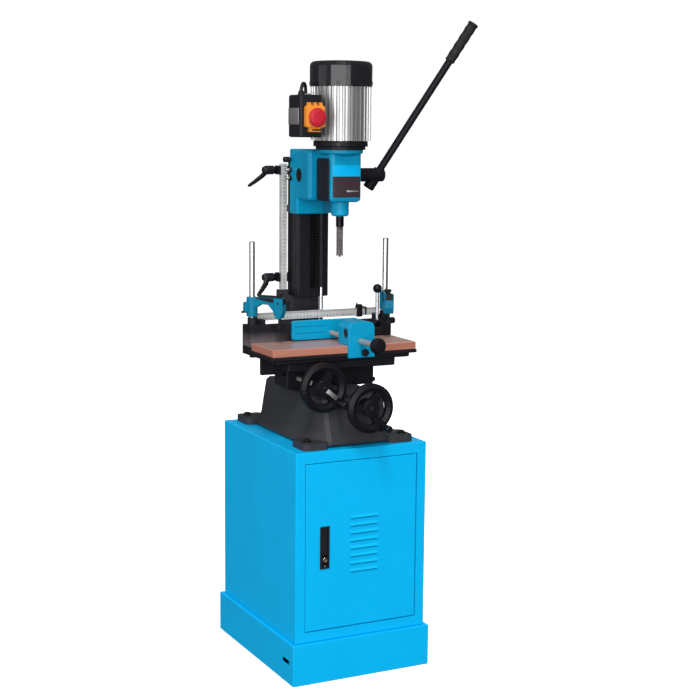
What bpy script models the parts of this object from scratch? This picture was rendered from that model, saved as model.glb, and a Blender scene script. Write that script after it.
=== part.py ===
"""Hollow chisel mortiser on its cabinet stand, modelled as separate pieces.

Units are metres. The origin is the centre of the stand's footprint on the floor,
+X is the right-hand side of someone facing the machine, -Y is its front, +Z is up.
"""
import math

import bmesh
import bpy
from mathutils import Matrix, Vector

# Clearances and counts
GAP = 0.0003
OVERRUN = 0.004
TINY = 0.0001
LARGE_ROUND = 32
MID_ROUND = 20
SMALL_ROUND = 12
BOSS_ROUND = 24
HOLE_ROUND = 16
FEW_ROUND = 8
WIDE_ROUND = 40
SHARP_ANGLE = math.radians(32)

# Stand
CABINET_WIDTH = 0.380
CABINET_DEPTH = 0.4834
STAND_HEIGHT = 0.614
PLINTH_HEIGHT = 0.110
PLINTH_MARGIN = 0.0109
PLINTH_LEDGE = 0.022
SHEET = 0.0015
SHEET_BEND = 0.003
PLINTH_SLOT_LENGTH = 0.042
PLINTH_SLOT_HEIGHT = 0.012
PLINTH_SLOT_FROM_FRONT = 0.025
PLINTH_SLOT_Z = 0.052

# Door and its latch
DOOR_WIDTH = 0.323
DOOR_BOTTOM = 0.1395
DOOR_TOP = 0.583
DOOR_DEPTH = 0.016
DOOR_GAP = 0.002
FRAME_RETURN = 0.020
HINGE_INSET = 0.0036
HINGE_ROD = 0.003
HINGE_HOLE = 0.0036
HINGE_REACH = 0.009
LOUVRE_COUNT = 8
LOUVRE_WIDTH = 0.081
LOUVRE_X = 0.007
LOUVRE_TOP = 0.4385
LOUVRE_PITCH = 0.0205
LOUVRE_HEIGHT = 0.0085
LOUVRE_OUT = 0.0035
LOUVRE_SLOT = 0.0025
LATCH_X = -0.108
LATCH_Z = 0.360
LATCH_WIDTH = 0.027
LATCH_HEIGHT = 0.113
LATCH_PROUD = 0.003
LATCH_CASE_DEPTH = 0.012
LATCH_RIM = 0.004
LATCH_HANDLE_LENGTH = 0.070
LATCH_HANDLE_DEPTH = 0.007

# Base casting
BASE_HALF_X = 0.160
BASE_FRONT = -0.226
BASE_REAR = 0.229
BASE_TOP_RISE = 0.128
BASE_TOP = STAND_HEIGHT + BASE_TOP_RISE
BASE_RELIEF = 0.004
LUG_THICKNESS = 0.018
LUG_LENGTH_X = 0.072
LUG_LENGTH_Y = 0.082
LUG_ROUND = 0.014
LUG_BOLT_X = 0.138
LUG_BOLT_INSET_Y = 0.030
LUG_BOLT_HOLE = 0.013
BASE_WALL = 0.009
BASE_TOP_WALL = 0.006
BASE_LEVELS = (0.0, 0.012, 0.030, 0.062, 0.124)
BASE_HALF_WIDTHS = (0.141, 0.124, 0.112, 0.104, 0.092)
BASE_HALF_DEPTHS = (0.222, 0.214, 0.208, 0.200, 0.1885)
BASE_CORNER_X = 0.048
BASE_CORNER_Y = 0.072
BASE_FRONT_CORNER_SHARES = (1.0, 0.85, 0.62, 0.42, 0.15)
BASE_REAR_CORNER_SHARES = (1.0, 0.85, 0.65, 0.45, 0.25)
WAY_HALF_X = 0.045
WAY_HEIGHT = 0.014
WAY_UNDERCUT = 0.007
WAY_FRONT = -0.186
WAY_REAR = 0.100
BEARING_BOSS = 0.040
BEARING_BOSS_LENGTH = 0.030
NUT_SLOT_HALF_X = 0.013
NUT_SLOT_FRONT = -0.118
NUT_SLOT_REAR = 0.052

# Cross feed
CROSS_SCREW_DROP = 0.017
CROSS_SCREW_Z = BASE_TOP - CROSS_SCREW_DROP
CROSS_SCREW = 0.014
CROSS_SCREW_REAR = 0.085
SCREW_HOLE = 0.0146
WHEEL = 0.132
WHEEL_RIM = 0.024
WHEEL_HUB = 0.046
WHEEL_HUB_LENGTH = 0.0375
WHEEL_SPOKES = 3
WHEEL_SPOKE_WIDTH = 0.030
WHEEL_SPOKE_DEPTH = 0.013
CROSS_WHEEL_Y = -0.280
WHEEL_BORE_CAP = 0.006
CRANK_LENGTH = 0.0485
CRANK_DIAMETER = 0.019
CRANK_NECK = 0.010
CRANK_STUB = 0.005
CRANK_SWELL_SHARE = 0.55
CROSS_CRANK_ANGLE = math.radians(-61)
TABLE_CRANK_ANGLE = math.radians(-49)

# Saddle
SADDLE_HALF_X = 0.112
SADDLE_FRONT = -0.012
SADDLE_REAR = 0.070
SADDLE_TOP_RISE = 0.057
SADDLE_TOP = BASE_TOP + SADDLE_TOP_RISE
APRON_HALF_X = 0.130
APRON_FRONT = -0.053
APRON_THICKNESS = 0.015
APRON_BOTTOM_RISE = 0.0025
APRON_BOTTOM = BASE_TOP + APRON_BOTTOM_RISE
APRON_TOP_RISE = 0.0035
APRON_TOP = SADDLE_TOP + APRON_TOP_RISE
SKIRT_THICKNESS = 0.016
SKIRT_BOTTOM_RISE = 0.004
SKIRT_BOTTOM = BASE_TOP + SKIRT_BOTTOM_RISE
SKIRT_REAR = 0.030
SADDLE_WEB_TOP_RISE = 0.015
SADDLE_WEB_TOP = BASE_TOP + SADDLE_WEB_TOP_RISE
RACK_ROOM_BOTTOM_RISE = 0.037
RACK_ROOM_BOTTOM = BASE_TOP + RACK_ROOM_BOTTOM_RISE
NUT_WIDTH = 0.022
NUT_LENGTH = 0.030
SADDLE_LOCK_Y = -0.030
SADDLE_LOCK_RISE = 0.01
SADDLE_LOCK_Z = BASE_TOP + SADDLE_LOCK_RISE
SADDLE_LOCK_HUB = 0.012
SADDLE_LOCK_HUB_LENGTH = 0.014
SADDLE_LOCK_ROD = 0.006
SADDLE_LOCK_LENGTH = 0.030

# Table feed
PINION_X = -0.0971
PINION_RISE = 0.0307
PINION_Z = BASE_TOP + PINION_RISE
PINION_TEETH = 12
PINION_PITCH_RADIUS = 0.0100
PINION_TOOTH = 0.0018
PINION_FACE = 0.014
PINION_SHAFT = 0.012
PINION_SHAFT_HOLE = 0.0126
PINION_POCKET = 0.0130
TABLE_WHEEL_Y = -0.2055

# Table casting and board
TABLE_HALF_X = 0.2135
TABLE_FRONT = -0.142
TABLE_UNDERSIDE_RISE = 0.0043
TABLE_UNDERSIDE = SADDLE_TOP + TABLE_UNDERSIDE_RISE
TABLE_SEAT_RISE = 0.0434
TABLE_SEAT = TABLE_UNDERSIDE + TABLE_SEAT_RISE
SEAT_THICKNESS = 0.0095
TABLE_STEP_HALF_X = 0.195
TABLE_STEP_DEPTH = 0.011
TABLE_STEP_INSET = 0.007
TABLE_BODY_HALF_X = 0.158
TABLE_BODY_INSET = 0.020
TABLE_BODY_REAR = 0.044
TABLE_WAY_HALF_Y = 0.020
TABLE_WAY_Y = 0.028
TABLE_WAY_HEIGHT = 0.012
TABLE_WAY_UNDERCUT = 0.006
TABLE_WAY_HALF_X = 0.135
RACK_RIB_THICKNESS = 0.012
RACK_HALF_LENGTH = 0.098
BOARD_HALF_X = 0.210
BOARD_THICKNESS = 0.020
BOARD_EDGE = 0.0015

# Fence, posts, rule and stop
FENCE_HALF_X = 0.211
FENCE_THICKNESS = 0.012
FENCE_TOP_RISE = 0.0683
FENCE_TOP = TABLE_SEAT + FENCE_TOP_RISE
FENCE_END_THICKNESS = 0.012
FENCE_END_REAR = 0.058
FENCE_END_BOTTOM_DROP = 0.0137
FENCE_END_BOTTOM = TABLE_SEAT - FENCE_END_BOTTOM_DROP
FENCE_RIB_X = 0.070
FENCE_RIB_REAR = 0.030
POST_X = 0.200
POST_Y = 0.019
POST_DIAMETER = 0.0155
POST_FOOT_RISE = 0.0333
POST_FOOT = TABLE_SEAT + POST_FOOT_RISE
POST_TOP_RISE = 0.255
POST_TOP = POST_FOOT + POST_TOP_RISE
POST_BOSS = 0.027
POST_BOSS_BOTTOM_DROP = 0.012
POST_BOSS_BOTTOM = POST_FOOT - POST_BOSS_BOTTOM_DROP
POST_BOSS_TOP_RISE = 0.019
POST_BOSS_TOP = FENCE_TOP + POST_BOSS_TOP_RISE
POST_EDGE = 0.001
RULE_BAR_HALF_X = 0.181
RULE_BAR_HEIGHT = 0.021
RULE_BAR_THICKNESS = 0.0025
RULE_BAR_RISE = 0.0165
RULE_BAR_Z = FENCE_TOP + RULE_BAR_RISE
RULE_BAR_Y = 0.0345
RULE_STUD_X = 0.172
RULE_STUD = 0.006
LOCK_KNOB = 0.018
LOCK_KNOB_LENGTH = 0.016
LOCK_KNOB_STUD = 0.006
POST_LOCK_RISE = 0.025
POST_LOCK_Z = POST_FOOT + POST_LOCK_RISE
STOP_X = 0.128
STOP_WIDTH = 0.016
STOP_DEPTH = 0.014
STOP_HEIGHT = 0.034
STOP_ROD = 0.005
STOP_ROD_DROP = 0.014
STOP_KNOB = 0.016
STOP_KNOB_LENGTH = 0.010
STOP_WING = 0.016

# Hold-downs
HOLD_COLLAR = 0.030
HOLD_COLLAR_HEIGHT = 0.052
HOLD_RISE = 0.0285
HOLD_Z = POST_BOSS_TOP + HOLD_RISE
HOLD_REACH = 0.080
HOLD_ARM_WIDTH = 0.020
HOLD_ARM_DEPTH = 0.018
HOLD_EAR = 0.008
HOLD_EAR_WIDTH = 0.016
HOLD_EAR_HEIGHT = 0.026
HOLD_END_WIDTH = 0.026
HOLD_END_HEIGHT = 0.054
HOLD_END_TAPER = 0.016
HOLD_END_SLOT = 0.010
HOLD_LEFT_TURN = math.radians(-48)
HOLD_RIGHT_TURN = math.radians(-111)
HOLD_SCREW = 0.008
HOLD_SCREW_HOLE = 0.0086
HOLD_SCREW_HEAD = 0.015
HOLD_SCREW_HEAD_HEIGHT = 0.007
HOLD_FOOT = 0.017
HOLD_FOOT_HEIGHT = 0.009
HOLD_FOOT_DROP = 0.016
HOLD_SCREW_REACH = 0.018
HOLD_LEVER_LENGTH = 0.050
HOLD_LEVER_WIDTH = 0.012
HOLD_LEVER_HEIGHT = 0.006
HOLD_LEVER_STUD = 0.007
HOLD_LEVER_FROM_POST = 0.026

# Vise
VISE_LEFT = 0.0035
VISE_RIGHT = 0.0800
VISE_FRONT = -0.1500
VISE_REAR = -0.0870
VISE_TOP_RISE = 0.0823
VISE_TOP = TABLE_SEAT + VISE_TOP_RISE
VISE_HOOK_BOTTOM_DROP = 0.0117
VISE_HOOK_BOTTOM = TABLE_SEAT - VISE_HOOK_BOTTOM_DROP
VISE_ROUND = 0.016
VISE_POCKET = 0.026
VISE_POCKET_DEPTH = 0.004
VISE_POCKET_RISE = 0.0520
VISE_POCKET_Z = TABLE_SEAT + VISE_POCKET_RISE
VISE_POCKET_Y = -0.1290
JAW_LEFT = -0.0975
JAW_RIGHT = 0.1000
JAW_REAR = -0.004
JAW_THICKNESS = 0.013
JAW_BOTTOM_RISE = 0.0230
JAW_BOTTOM = TABLE_SEAT + JAW_BOTTOM_RISE
JAW_TOP_RISE = 0.0750
JAW_TOP = TABLE_SEAT + JAW_TOP_RISE
JAW_ROUND = 0.007
JAW_GROOVE = 0.004
JAW_GROOVE_DEPTH = 0.0015
VISE_SCREW_X = 0.0385
VISE_SCREW_RISE = 0.0318
VISE_SCREW_Z = TABLE_SEAT + VISE_SCREW_RISE
VISE_SCREW = 0.016
VISE_SCREW_HOLE = 0.0166
VISE_GUIDE_X = 0.0105
VISE_GUIDE_RISE = 0.0387
VISE_GUIDE_Z = TABLE_SEAT + VISE_GUIDE_RISE
VISE_GUIDE = 0.0138
VISE_GUIDE_HOLE = 0.0144
VISE_GUIDE_END = -0.148
VISE_GUIDE_REACH = 0.015
VISE_COLLAR_GAP = 0.077
VISE_KNOB = 0.042
VISE_KNOB_LENGTH = 0.034
VISE_KNOB_SHARES = ((0.72, 0.96), (1.0, 0.72), (1.0, 0.42), (0.8, 0.2))
VISE_LOCK_X = 0.048
VISE_LOCK_RISE = 0.0018
VISE_LOCK_Z = TABLE_SEAT + VISE_LOCK_RISE
VISE_LOCK_KNOB = 0.020
VISE_LOCK_STUD = 0.007
VISE_LEVER_X = 0.102
VISE_LEVER_Y = -0.120
VISE_LEVER_RISE = 0.0693
VISE_LEVER_Z = TABLE_SEAT + VISE_LEVER_RISE
VISE_LEVER_HUB = 0.016
VISE_LEVER_ROD = 0.0095
VISE_LEVER_LENGTH = 0.0967
VISE_LEVER_BALL = 0.0245
VISE_LEVER_STUD = 0.008
VISE_LEVER_SEAT = 0.012
BALL_RINGS = 8

# Column and its foot
COLUMN_HALF_X = 0.043
COLUMN_FRONT = 0.058
COLUMN_REAR = 0.137
COLUMN_BOTTOM_RISE = 0.235
COLUMN_BOTTOM = BASE_TOP + COLUMN_BOTTOM_RISE
COLUMN_TOP_RISE = 0.368
COLUMN_TOP = COLUMN_BOTTOM + COLUMN_TOP_RISE
COLUMN_WAY_DEPTH = 0.012
COLUMN_WAY_UNDERCUT = 0.008
COLUMN_GROOVE = 0.006
COLUMN_GROOVE_Y = 0.084
COLUMN_WALL = 0.012
FOOT_HALF_X = 0.044
FOOT_FRONT = 0.113
FOOT_REAR = 0.190
FOOT_FLARE = 0.010
FOOT_FLARE_HEIGHT = 0.030
FOOT_BACK_HALF_X = 0.030
FOOT_BACK_THICKNESS = 0.030
FOOT_BACK_TOP_RISE = 0.113
FOOT_BACK_TOP = COLUMN_BOTTOM + FOOT_BACK_TOP_RISE
STRUT_LUG_HALF_X = 0.013
STRUT_LUG_REACH = 0.0085
STRUT_LUG_BOTTOM_RISE = 0.1
STRUT_LUG_BOTTOM = BASE_TOP + STRUT_LUG_BOTTOM_RISE
STRUT_LUG_HEIGHT = 0.016
RULE_EAR_BOTTOM_DROP = 0.02
RULE_EAR_BOTTOM = COLUMN_BOTTOM - RULE_EAR_BOTTOM_DROP
RULE_EAR_TOP_RISE = 0.0155
RULE_EAR_TOP = COLUMN_BOTTOM + RULE_EAR_TOP_RISE
RULE_EAR_LEFT = -0.079
RULE_EAR_FRONT = 0.113
RULE_EAR_REAR = 0.134

# Rack on the column
COLUMN_RACK_LEFT = -0.012
COLUMN_RACK_RIGHT = 0.006
RACK_PITCH = 0.0085
RACK_TOOTH = 0.0046
RACK_TEETH = 39
RACK_SEAT = 0.0030
RACK_BOTTOM_RISE = 0.024
RACK_BOTTOM = COLUMN_BOTTOM + RACK_BOTTOM_RISE
RACK_TOOTH_SHARES = (0.0, 0.14, 0.36, 0.50)

# Vertical rule and its two stops
RULE_LEFT = -0.0755
RULE_WIDTH = 0.0225
RULE_FRONT = 0.1200
RULE_THICKNESS = 0.0025
RULE_BOTTOM_RISE = 0.009
RULE_BOTTOM = RULE_EAR_BOTTOM + RULE_BOTTOM_RISE
RULE_TOP_RISE = 0.370
RULE_TOP = RULE_BOTTOM + RULE_TOP_RISE
LIMIT_HEIGHT = 0.024
LIMIT_LEFT = -0.0785
LIMIT_RIGHT = -0.0460
LIMIT_DEPTH = 0.024
LIMIT_LIP = 0.0025
UPPER_LIMIT_DROP = 0.0175
UPPER_LIMIT_Z = RULE_TOP - UPPER_LIMIT_DROP
LOWER_LIMIT_RISE = 0.06
LOWER_LIMIT_Z = RULE_BOTTOM + LOWER_LIMIT_RISE
CLAMP_STUD = 0.007
CLAMP_STUD_SEAT = 0.012
CLAMP_HUB = 0.024
CLAMP_HUB_LENGTH = 0.040
CLAMP_ARM_RADIAL = 0.056
CLAMP_ARM_AXIAL = 0.043
CLAMP_ARM_ROOT = 0.020
CLAMP_HUB_SHARES = ((0.5, 0.0), (1.0, 0.25), (1.0, 0.8), (0.7, 1.0))
CLAMP_ARM_SHARES = (
    (0.0, 0.0, 1.0), (0.35, 0.23, 0.85), (0.7, 0.61, 0.71), (0.92, 0.89, 0.62), (1.0, 1.0, 0.35),
)
CLAMP_ARM_START_SHARE = 0.66
CLAMP_ARM_FLAT_SHARE = 0.75
UPPER_CLAMP_TURN = math.radians(53)
LOWER_CLAMP_TURN = math.radians(126)

# Gas strut
STRUT_X = 0.0168
STRUT_Y = 0.0465
STRUT_ROD = 0.010
STRUT_CYLINDER = 0.0165
STRUT_ROD_TOP_RISE = 0.053
STRUT_ROD_TOP = COLUMN_BOTTOM + STRUT_ROD_TOP_RISE
STRUT_CYLINDER_BOTTOM_RISE = 0.0265
STRUT_CYLINDER_BOTTOM = COLUMN_BOTTOM + STRUT_CYLINDER_BOTTOM_RISE
STRUT_SEAT = 0.014
STRUT_WALL = 0.0015

# Head
HEAD_BOTTOM_RISE = 0.227
HEAD_BOTTOM = COLUMN_BOTTOM + HEAD_BOTTOM_RISE
HEAD_TOP_RISE = 0.173
HEAD_TOP = HEAD_BOTTOM + HEAD_TOP_RISE
SLIDE_LEFT = -0.065
SLIDE_RIGHT = 0.055
SLIDE_FRONT = -0.042
SLIDE_REAR = 0.068
SLIDE_ROUND = 0.009
HOUSING_HALF_X = 0.045
HOUSING_FRONT = -0.135
HOUSING_BOTTOM_RISE = 0.038
HOUSING_BOTTOM = HEAD_BOTTOM + HOUSING_BOTTOM_RISE
HOUSING_ROUND = 0.010
HEAD_COLLAR = 0.118
HEAD_COLLAR_HEIGHT = 0.016
HEAD_SKIRT_FRONT = 0.030
HEAD_SKIRT_CORNER_X = 0.014
HEAD_SKIRT_SIDE_Y = 0.056
CHEEK_REAR = 0.079
SPINDLE_Y = -0.0975
NOSE = 0.0465
NOSE_BOTTOM_RISE = 0.001
NOSE_BOTTOM = HEAD_BOTTOM + NOSE_BOTTOM_RISE
NOSE_CHAMFER = 0.004
CHUCK_CAVITY_HALF_X = 0.032
CHUCK_CAVITY_REAR = -0.058
CHUCK_CAVITY_FRONT = -0.1225
CHUCK_CAVITY_BOTTOM_RISE = 0.015
CHUCK_CAVITY_BOTTOM = HOUSING_BOTTOM + CHUCK_CAVITY_BOTTOM_RISE
CHUCK_CAVITY_TOP_DROP = 0.0255
CHUCK_CAVITY_TOP = HEAD_TOP - CHUCK_CAVITY_TOP_DROP
COVER_REAR = -0.0560
COVER_FRONT = -0.1270
COVER_TOP_DROP = 0.0220
COVER_TOP = HEAD_TOP - COVER_TOP_DROP
COVER_THICKNESS = 0.0035
COVER_ROUND = 0.006
COVER_CUT = 0.012
FEED_RISE = 0.104
FEED_Z = HEAD_BOTTOM + FEED_RISE
FEED_HOLE = 0.0370
FEED_HOLE_DEPTH = 0.010
FINGER_LEFT = -0.0518
FINGER_RIGHT = -0.0458
FINGER_REAR = 0.145
FINGER_HEIGHT = 0.020
FEED_PINION_TEETH = 26
FEED_TOOTH = 0.0046
FEED_PLAY = 0.0005
FEED_PINION_LEFT = -0.0110
FEED_PINION_FACE = 0.0160
FEED_PINION_ROOM = 0.0030
FEED_SHAFT = 0.024
FEED_SHAFT_HOLE = 0.0246

# Feed lever
HUB_DIAMETER = 0.037
HUB_END = 0.1880
LEVER_CROSS_X = 0.1690
LEVER_TILT = math.radians(26)
LEVER_FORWARD = math.radians(20)
LEVER_ROD = 0.0200
LEVER_LENGTH = 0.4800
LEVER_SOCKET = 0.0310
LEVER_SOCKET_UP = 0.0160
LEVER_SOCKET_DOWN = 0.0430
LEVER_SOCKET_WALL_FOOT = 0.006
GRIP_DIAMETER = 0.0300
GRIP_LENGTH = 0.1200
GRIP_BUMPS = 4
GRIP_BUMP_DEPTH = 0.0022
GRIP_WAIST_SHARE = 0.93
GRIP_END_SHARE = 0.08
GRIP_TIP_SHARES = (0.92, 0.60)

# Chisel and bit
CHISEL_TIP_DROP = 0.107
CHISEL_TIP = NOSE_BOTTOM - CHISEL_TIP_DROP
CHISEL_WIDTH = 0.0130
CHISEL_BORE = 0.0104
CHISEL_BUSH = 0.0210
CHISEL_BUSH_BOTTOM_DROP = 0.028
CHISEL_BUSH_BOTTOM = NOSE_BOTTOM - CHISEL_BUSH_BOTTOM_DROP
CHISEL_MOUTH = 0.007
CHISEL_MOUTH_SHARE = 1.5
CHISEL_WINDOW_WIDTH = 0.006
CHISEL_WINDOW_LENGTH = 0.034
CHISEL_SHANK = 0.0190
CHISEL_SHANK_TOP_RISE = 0.02
CHISEL_SHANK_TOP = NOSE_BOTTOM + CHISEL_SHANK_TOP_RISE
SPINDLE_HOLE = 0.0196
BIT_DIAMETER = 0.0092
BIT_CORE = 0.0040
BIT_TURNS = 3
BIT_STEPS = 10
BIT_LAND_ANGLE = math.radians(17)
BIT_FLUTE_ANGLE = math.radians(36)
CHUCK_DIAMETER = 0.0340
CHUCK_BOTTOM_RISE = 0.008
CHUCK_BOTTOM = CHUCK_CAVITY_BOTTOM + CHUCK_BOTTOM_RISE
CHUCK_TOP_RISE = 0.039
CHUCK_TOP = CHUCK_BOTTOM + CHUCK_TOP_RISE
CHUCK_NOSE_SHARE = 0.56
ARBOR_DIAMETER = 0.0160
ARBOR_TOP_RISE = 0.011
ARBOR_TOP = HEAD_TOP + ARBOR_TOP_RISE

# Motor
MOTOR_Y = -0.0975
FLANGE_DIAMETER = 0.1420
FLANGE_HEIGHT = 0.0225
FLANGE_STEP = 0.006
FLANGE_STEP_HEIGHT = 0.008
MOTOR_DIAMETER = 0.1580
MOTOR_HEIGHT = 0.1380
MOTOR_RIBS = 34
MOTOR_RIB_DEPTH = 0.0050
MOTOR_RIB_SHARES = ((-0.30, 0), (-0.17, 1), (0.17, 1), (0.30, 0))
COWL_DIAMETER = 0.1620
COWL_HEIGHT = 0.0670
COWL_ROUND = 0.012
COWL_CROWN = 0.003
TERMINAL_X = -0.0900
TERMINAL_Y = -0.0745
TERMINAL_WIDTH = 0.020
TERMINAL_TOP_RISE = 0.143
TERMINAL_TOP = HEAD_TOP + TERMINAL_TOP_RISE
TERMINAL_HEIGHT = 0.026

# Switch box, its switch and the cable to the motor
BOX_LEFT = -0.1534
BOX_RIGHT = -0.0916
BOX_FRONT = -0.1800
BOX_REAR = -0.1060
BOX_BOTTOM_RISE = 0.0315
BOX_BOTTOM = HEAD_TOP + BOX_BOTTOM_RISE
BOX_TOP_RISE = 0.1061
BOX_TOP = BOX_BOTTOM + BOX_TOP_RISE
BOX_ROUND = 0.004
BOX_PAD_FRONT = -0.128
BOX_PAD_INSET = 0.020
SWITCH_X = -0.1185
SWITCH_RISE = 0.0513
SWITCH_Z = BOX_BOTTOM + SWITCH_RISE
SWITCH_WIDTH = 0.0510
SWITCH_HEIGHT = 0.0533
SWITCH_DEPTH = 0.0160
SWITCH_ROUND = 0.005
SWITCH_TAB_WIDTH = 0.030
SWITCH_TAB_HEIGHT = 0.0113
SWITCH_TEETH = 3
SWITCH_TOOTH_WIDTH = 0.010
SWITCH_TOOTH_HEIGHT = 0.0103
SWITCH_TOOTH_TIP_SHARE = 0.4
BUTTON_DIAMETER = 0.0480
BUTTON_HEAD = 0.0100
BUTTON_STEM = 0.0240
BUTTON_STANDOFF = 0.0080
BUTTON_SEAT = 0.0060
BUTTON_DROP = 0.002
BUTTON_SHARES = ((0.60, 0.92), (0.90, 0.62), (1.0, 0.25), (0.94, 0.0))
CABLE_DIAMETER = 0.0090
CABLE_START = (-0.1218, -0.1150)
CABLE_RISE = 0.026
CABLE_STEPS = 12
CABLE_SIDES = 10


def clear_scene():
    """Empty the scene, so that the script gives the same result each time."""
    for item in list(bpy.data.objects):
        bpy.data.objects.remove(item, do_unlink=True)


def make_finish(name, colour, roughness, metallic):
    """A Principled material for one piece."""
    finish = bpy.data.materials.new(name + "_finish")
    finish.use_nodes = True
    shader = finish.node_tree.nodes["Principled BSDF"]
    shader.inputs["Base Color"].default_value = (*colour, 1)
    shader.inputs["Roughness"].default_value = roughness
    shader.inputs["Metallic"].default_value = metallic
    finish.diffuse_color = (*colour, 1)
    return finish


BLUE_PAINT = ((0.010, 0.330, 0.500), 0.32, 0.0)
SHEET_PAINT = ((0.005, 0.420, 0.700), 0.38, 0.0)
CAST_PAINT = ((0.032, 0.032, 0.037), 0.48, 0.0)
BLACK_PLASTIC = ((0.010, 0.010, 0.012), 0.42, 0.0)
BLACK_RUBBER = ((0.012, 0.012, 0.013), 0.70, 0.0)
BRIGHT_STEEL = ((0.62, 0.62, 0.63), 0.22, 1.0)
DULL_STEEL = ((0.30, 0.29, 0.28), 0.38, 1.0)
BARE_ALUMINIUM = ((0.68, 0.69, 0.70), 0.30, 1.0)
BEECH = ((0.50, 0.27, 0.16), 0.55, 0.0)
ORANGE_PLASTIC = ((0.85, 0.22, 0.02), 0.40, 0.0)
RED_PLASTIC = ((0.65, 0.02, 0.03), 0.38, 0.0)


def block(low, high):
    """A box between two corners."""
    shape = bmesh.new()
    bmesh.ops.create_cube(shape, size=1)
    low, high = Vector(low), Vector(high)
    size = high - low
    for corner in shape.verts:
        corner.co = Vector((corner.co[k] * size[k] for k in range(3))) + (low + high) / 2
    return shape


def prism(outline, axis, low, high):
    """A flat outline pushed from low to high along an axis.

    The outline's points are (y, z) for x, (x, z) for y and (x, y) for z.
    """
    order = {"x": (2, 0, 1), "y": (0, 2, 1), "z": (0, 1, 2)}[axis]
    shape = bmesh.new()
    rings = []
    for height in (low, high):
        ring = []
        for a, b in outline:
            values = (a, b, height)
            ring.append(shape.verts.new([values[k] for k in order]))
        rings.append(ring)
    join_rings(shape, rings)
    return shape


def join_rings(shape, rings):
    """Skin a list of rings of equal length and close both ends."""
    count = len(rings[0])
    for lower, upper in zip(rings, rings[1:]):
        for k in range(count):
            n = (k + 1) % count
            shape.faces.new((lower[k], lower[n], upper[n], upper[k]))
    shape.faces.new(list(reversed(rings[0])))
    shape.faces.new(rings[-1])
    bmesh.ops.recalc_face_normals(shape, faces=shape.faces)


def turned(profile, axis, centre, sides=MID_ROUND, turn=0.0):
    """A turned solid. The profile is (radius, place along the axis), with radius 0 at closed ends."""
    shape = bmesh.new()
    rings = []
    for radius, place in profile:
        if radius <= 0:
            rings.append([shape.verts.new((0, 0, place))])
            continue
        ring = []
        for k in range(sides):
            angle = turn + math.tau * k / sides
            ring.append(shape.verts.new((radius * math.cos(angle), radius * math.sin(angle), place)))
        rings.append(ring)
    for lower, upper in zip(rings, rings[1:]):
        for k in range(sides):
            n = (k + 1) % sides
            if len(lower) == 1:
                shape.faces.new((lower[0], upper[n], upper[k]))
            elif len(upper) == 1:
                shape.faces.new((lower[k], lower[n], upper[0]))
            else:
                shape.faces.new((lower[k], lower[n], upper[n], upper[k]))
    if len(rings[0]) > 1:
        shape.faces.new(list(reversed(rings[0])))
    if len(rings[-1]) > 1:
        shape.faces.new(rings[-1])
    bmesh.ops.recalc_face_normals(shape, faces=shape.faces)
    shape.transform(Matrix.Translation(centre) @ axis_frame(axis))
    return shape


def axis_frame(axis):
    """The turn that carries +Z onto an axis, given by letter or by vector."""
    directions = {"x": Vector((1, 0, 0)), "y": Vector((0, 1, 0)), "z": Vector((0, 0, 1))}
    direction = directions[axis] if isinstance(axis, str) else Vector(axis).normalized()
    return Vector((0, 0, 1)).rotation_difference(direction).to_matrix().to_4x4()


def rod(diameter, axis, centre, low, high, sides=MID_ROUND, edge=0.0):
    """A straight round rod from low to high along an axis through a centre."""
    radius = diameter / 2
    profile = [(radius, low), (radius, high)]
    if edge:
        profile = [
            (radius - edge, low), (radius, low + edge), (radius, high - edge), (radius - edge, high),
        ]
    return turned(profile, axis, centre, sides)


def tube_through(points, radii, sides=SMALL_ROUND, squash=1.0):
    """A closed solid of round sections along points, with one radius at each point."""
    shape = bmesh.new()
    rings = []
    side = None
    for k, point in enumerate(points):
        before = Vector(points[max(k - 1, 0)])
        after = Vector(points[min(k + 1, len(points) - 1)])
        along = (after - before).normalized()
        if side is None:
            side = along.orthogonal().normalized()
        side = (side - along * side.dot(along)).normalized()
        across = along.cross(side)
        ring = []
        for s in range(sides):
            angle = math.tau * s / sides
            offset = side * math.cos(angle) + across * (math.sin(angle) * squash)
            ring.append(shape.verts.new(Vector(point) + offset * radii[k]))
        rings.append(ring)
    join_rings(shape, rings)
    return shape


def moved(shape, matrix):
    """The same shape, turned or carried by a matrix."""
    shape.transform(matrix)
    return shape


def merged(shapes):
    """Several separate shapes in one, for a cut or a union that takes them all."""
    whole = bmesh.new()
    for shape in shapes:
        mesh = bpy.data.meshes.new("part_of_tool")
        shape.to_mesh(mesh)
        shape.free()
        whole.from_mesh(mesh)
        bpy.data.meshes.remove(mesh)
    return whole


def rounded_outline(low, high, radius, steps=3):
    """A rectangle with round corners, as (a, b) points."""
    points = []
    corners = ((high[0], high[1], 0), (low[0], high[1], 1), (low[0], low[1], 2), (high[0], low[1], 3))
    for a, b, quarter in corners:
        inward_a = a - radius if quarter in (0, 3) else a + radius
        inward_b = b - radius if quarter in (0, 1) else b + radius
        for k in range(steps + 1):
            angle = math.pi / 2 * (quarter + k / steps)
            points.append((inward_a + radius * math.cos(angle), inward_b + radius * math.sin(angle)))
    return points


def gear_outline(teeth, pitch_radius, tooth, phase=0.0, fill=0.44):
    """A spur gear's outline: plain tapered teeth, half of each above the pitch circle."""
    points = []
    root = pitch_radius - tooth / 2
    tip = pitch_radius + tooth / 2
    step = math.tau / teeth
    for k in range(teeth):
        middle = phase + step * k
        root_half = step * fill / 2
        tip_half = root_half / 2
        for radius, offset in (
            (root, -root_half), (tip, -tip_half), (tip, tip_half), (root, root_half),
        ):
            points.append((radius * math.cos(middle + offset), radius * math.sin(middle + offset)))
    return points


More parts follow.
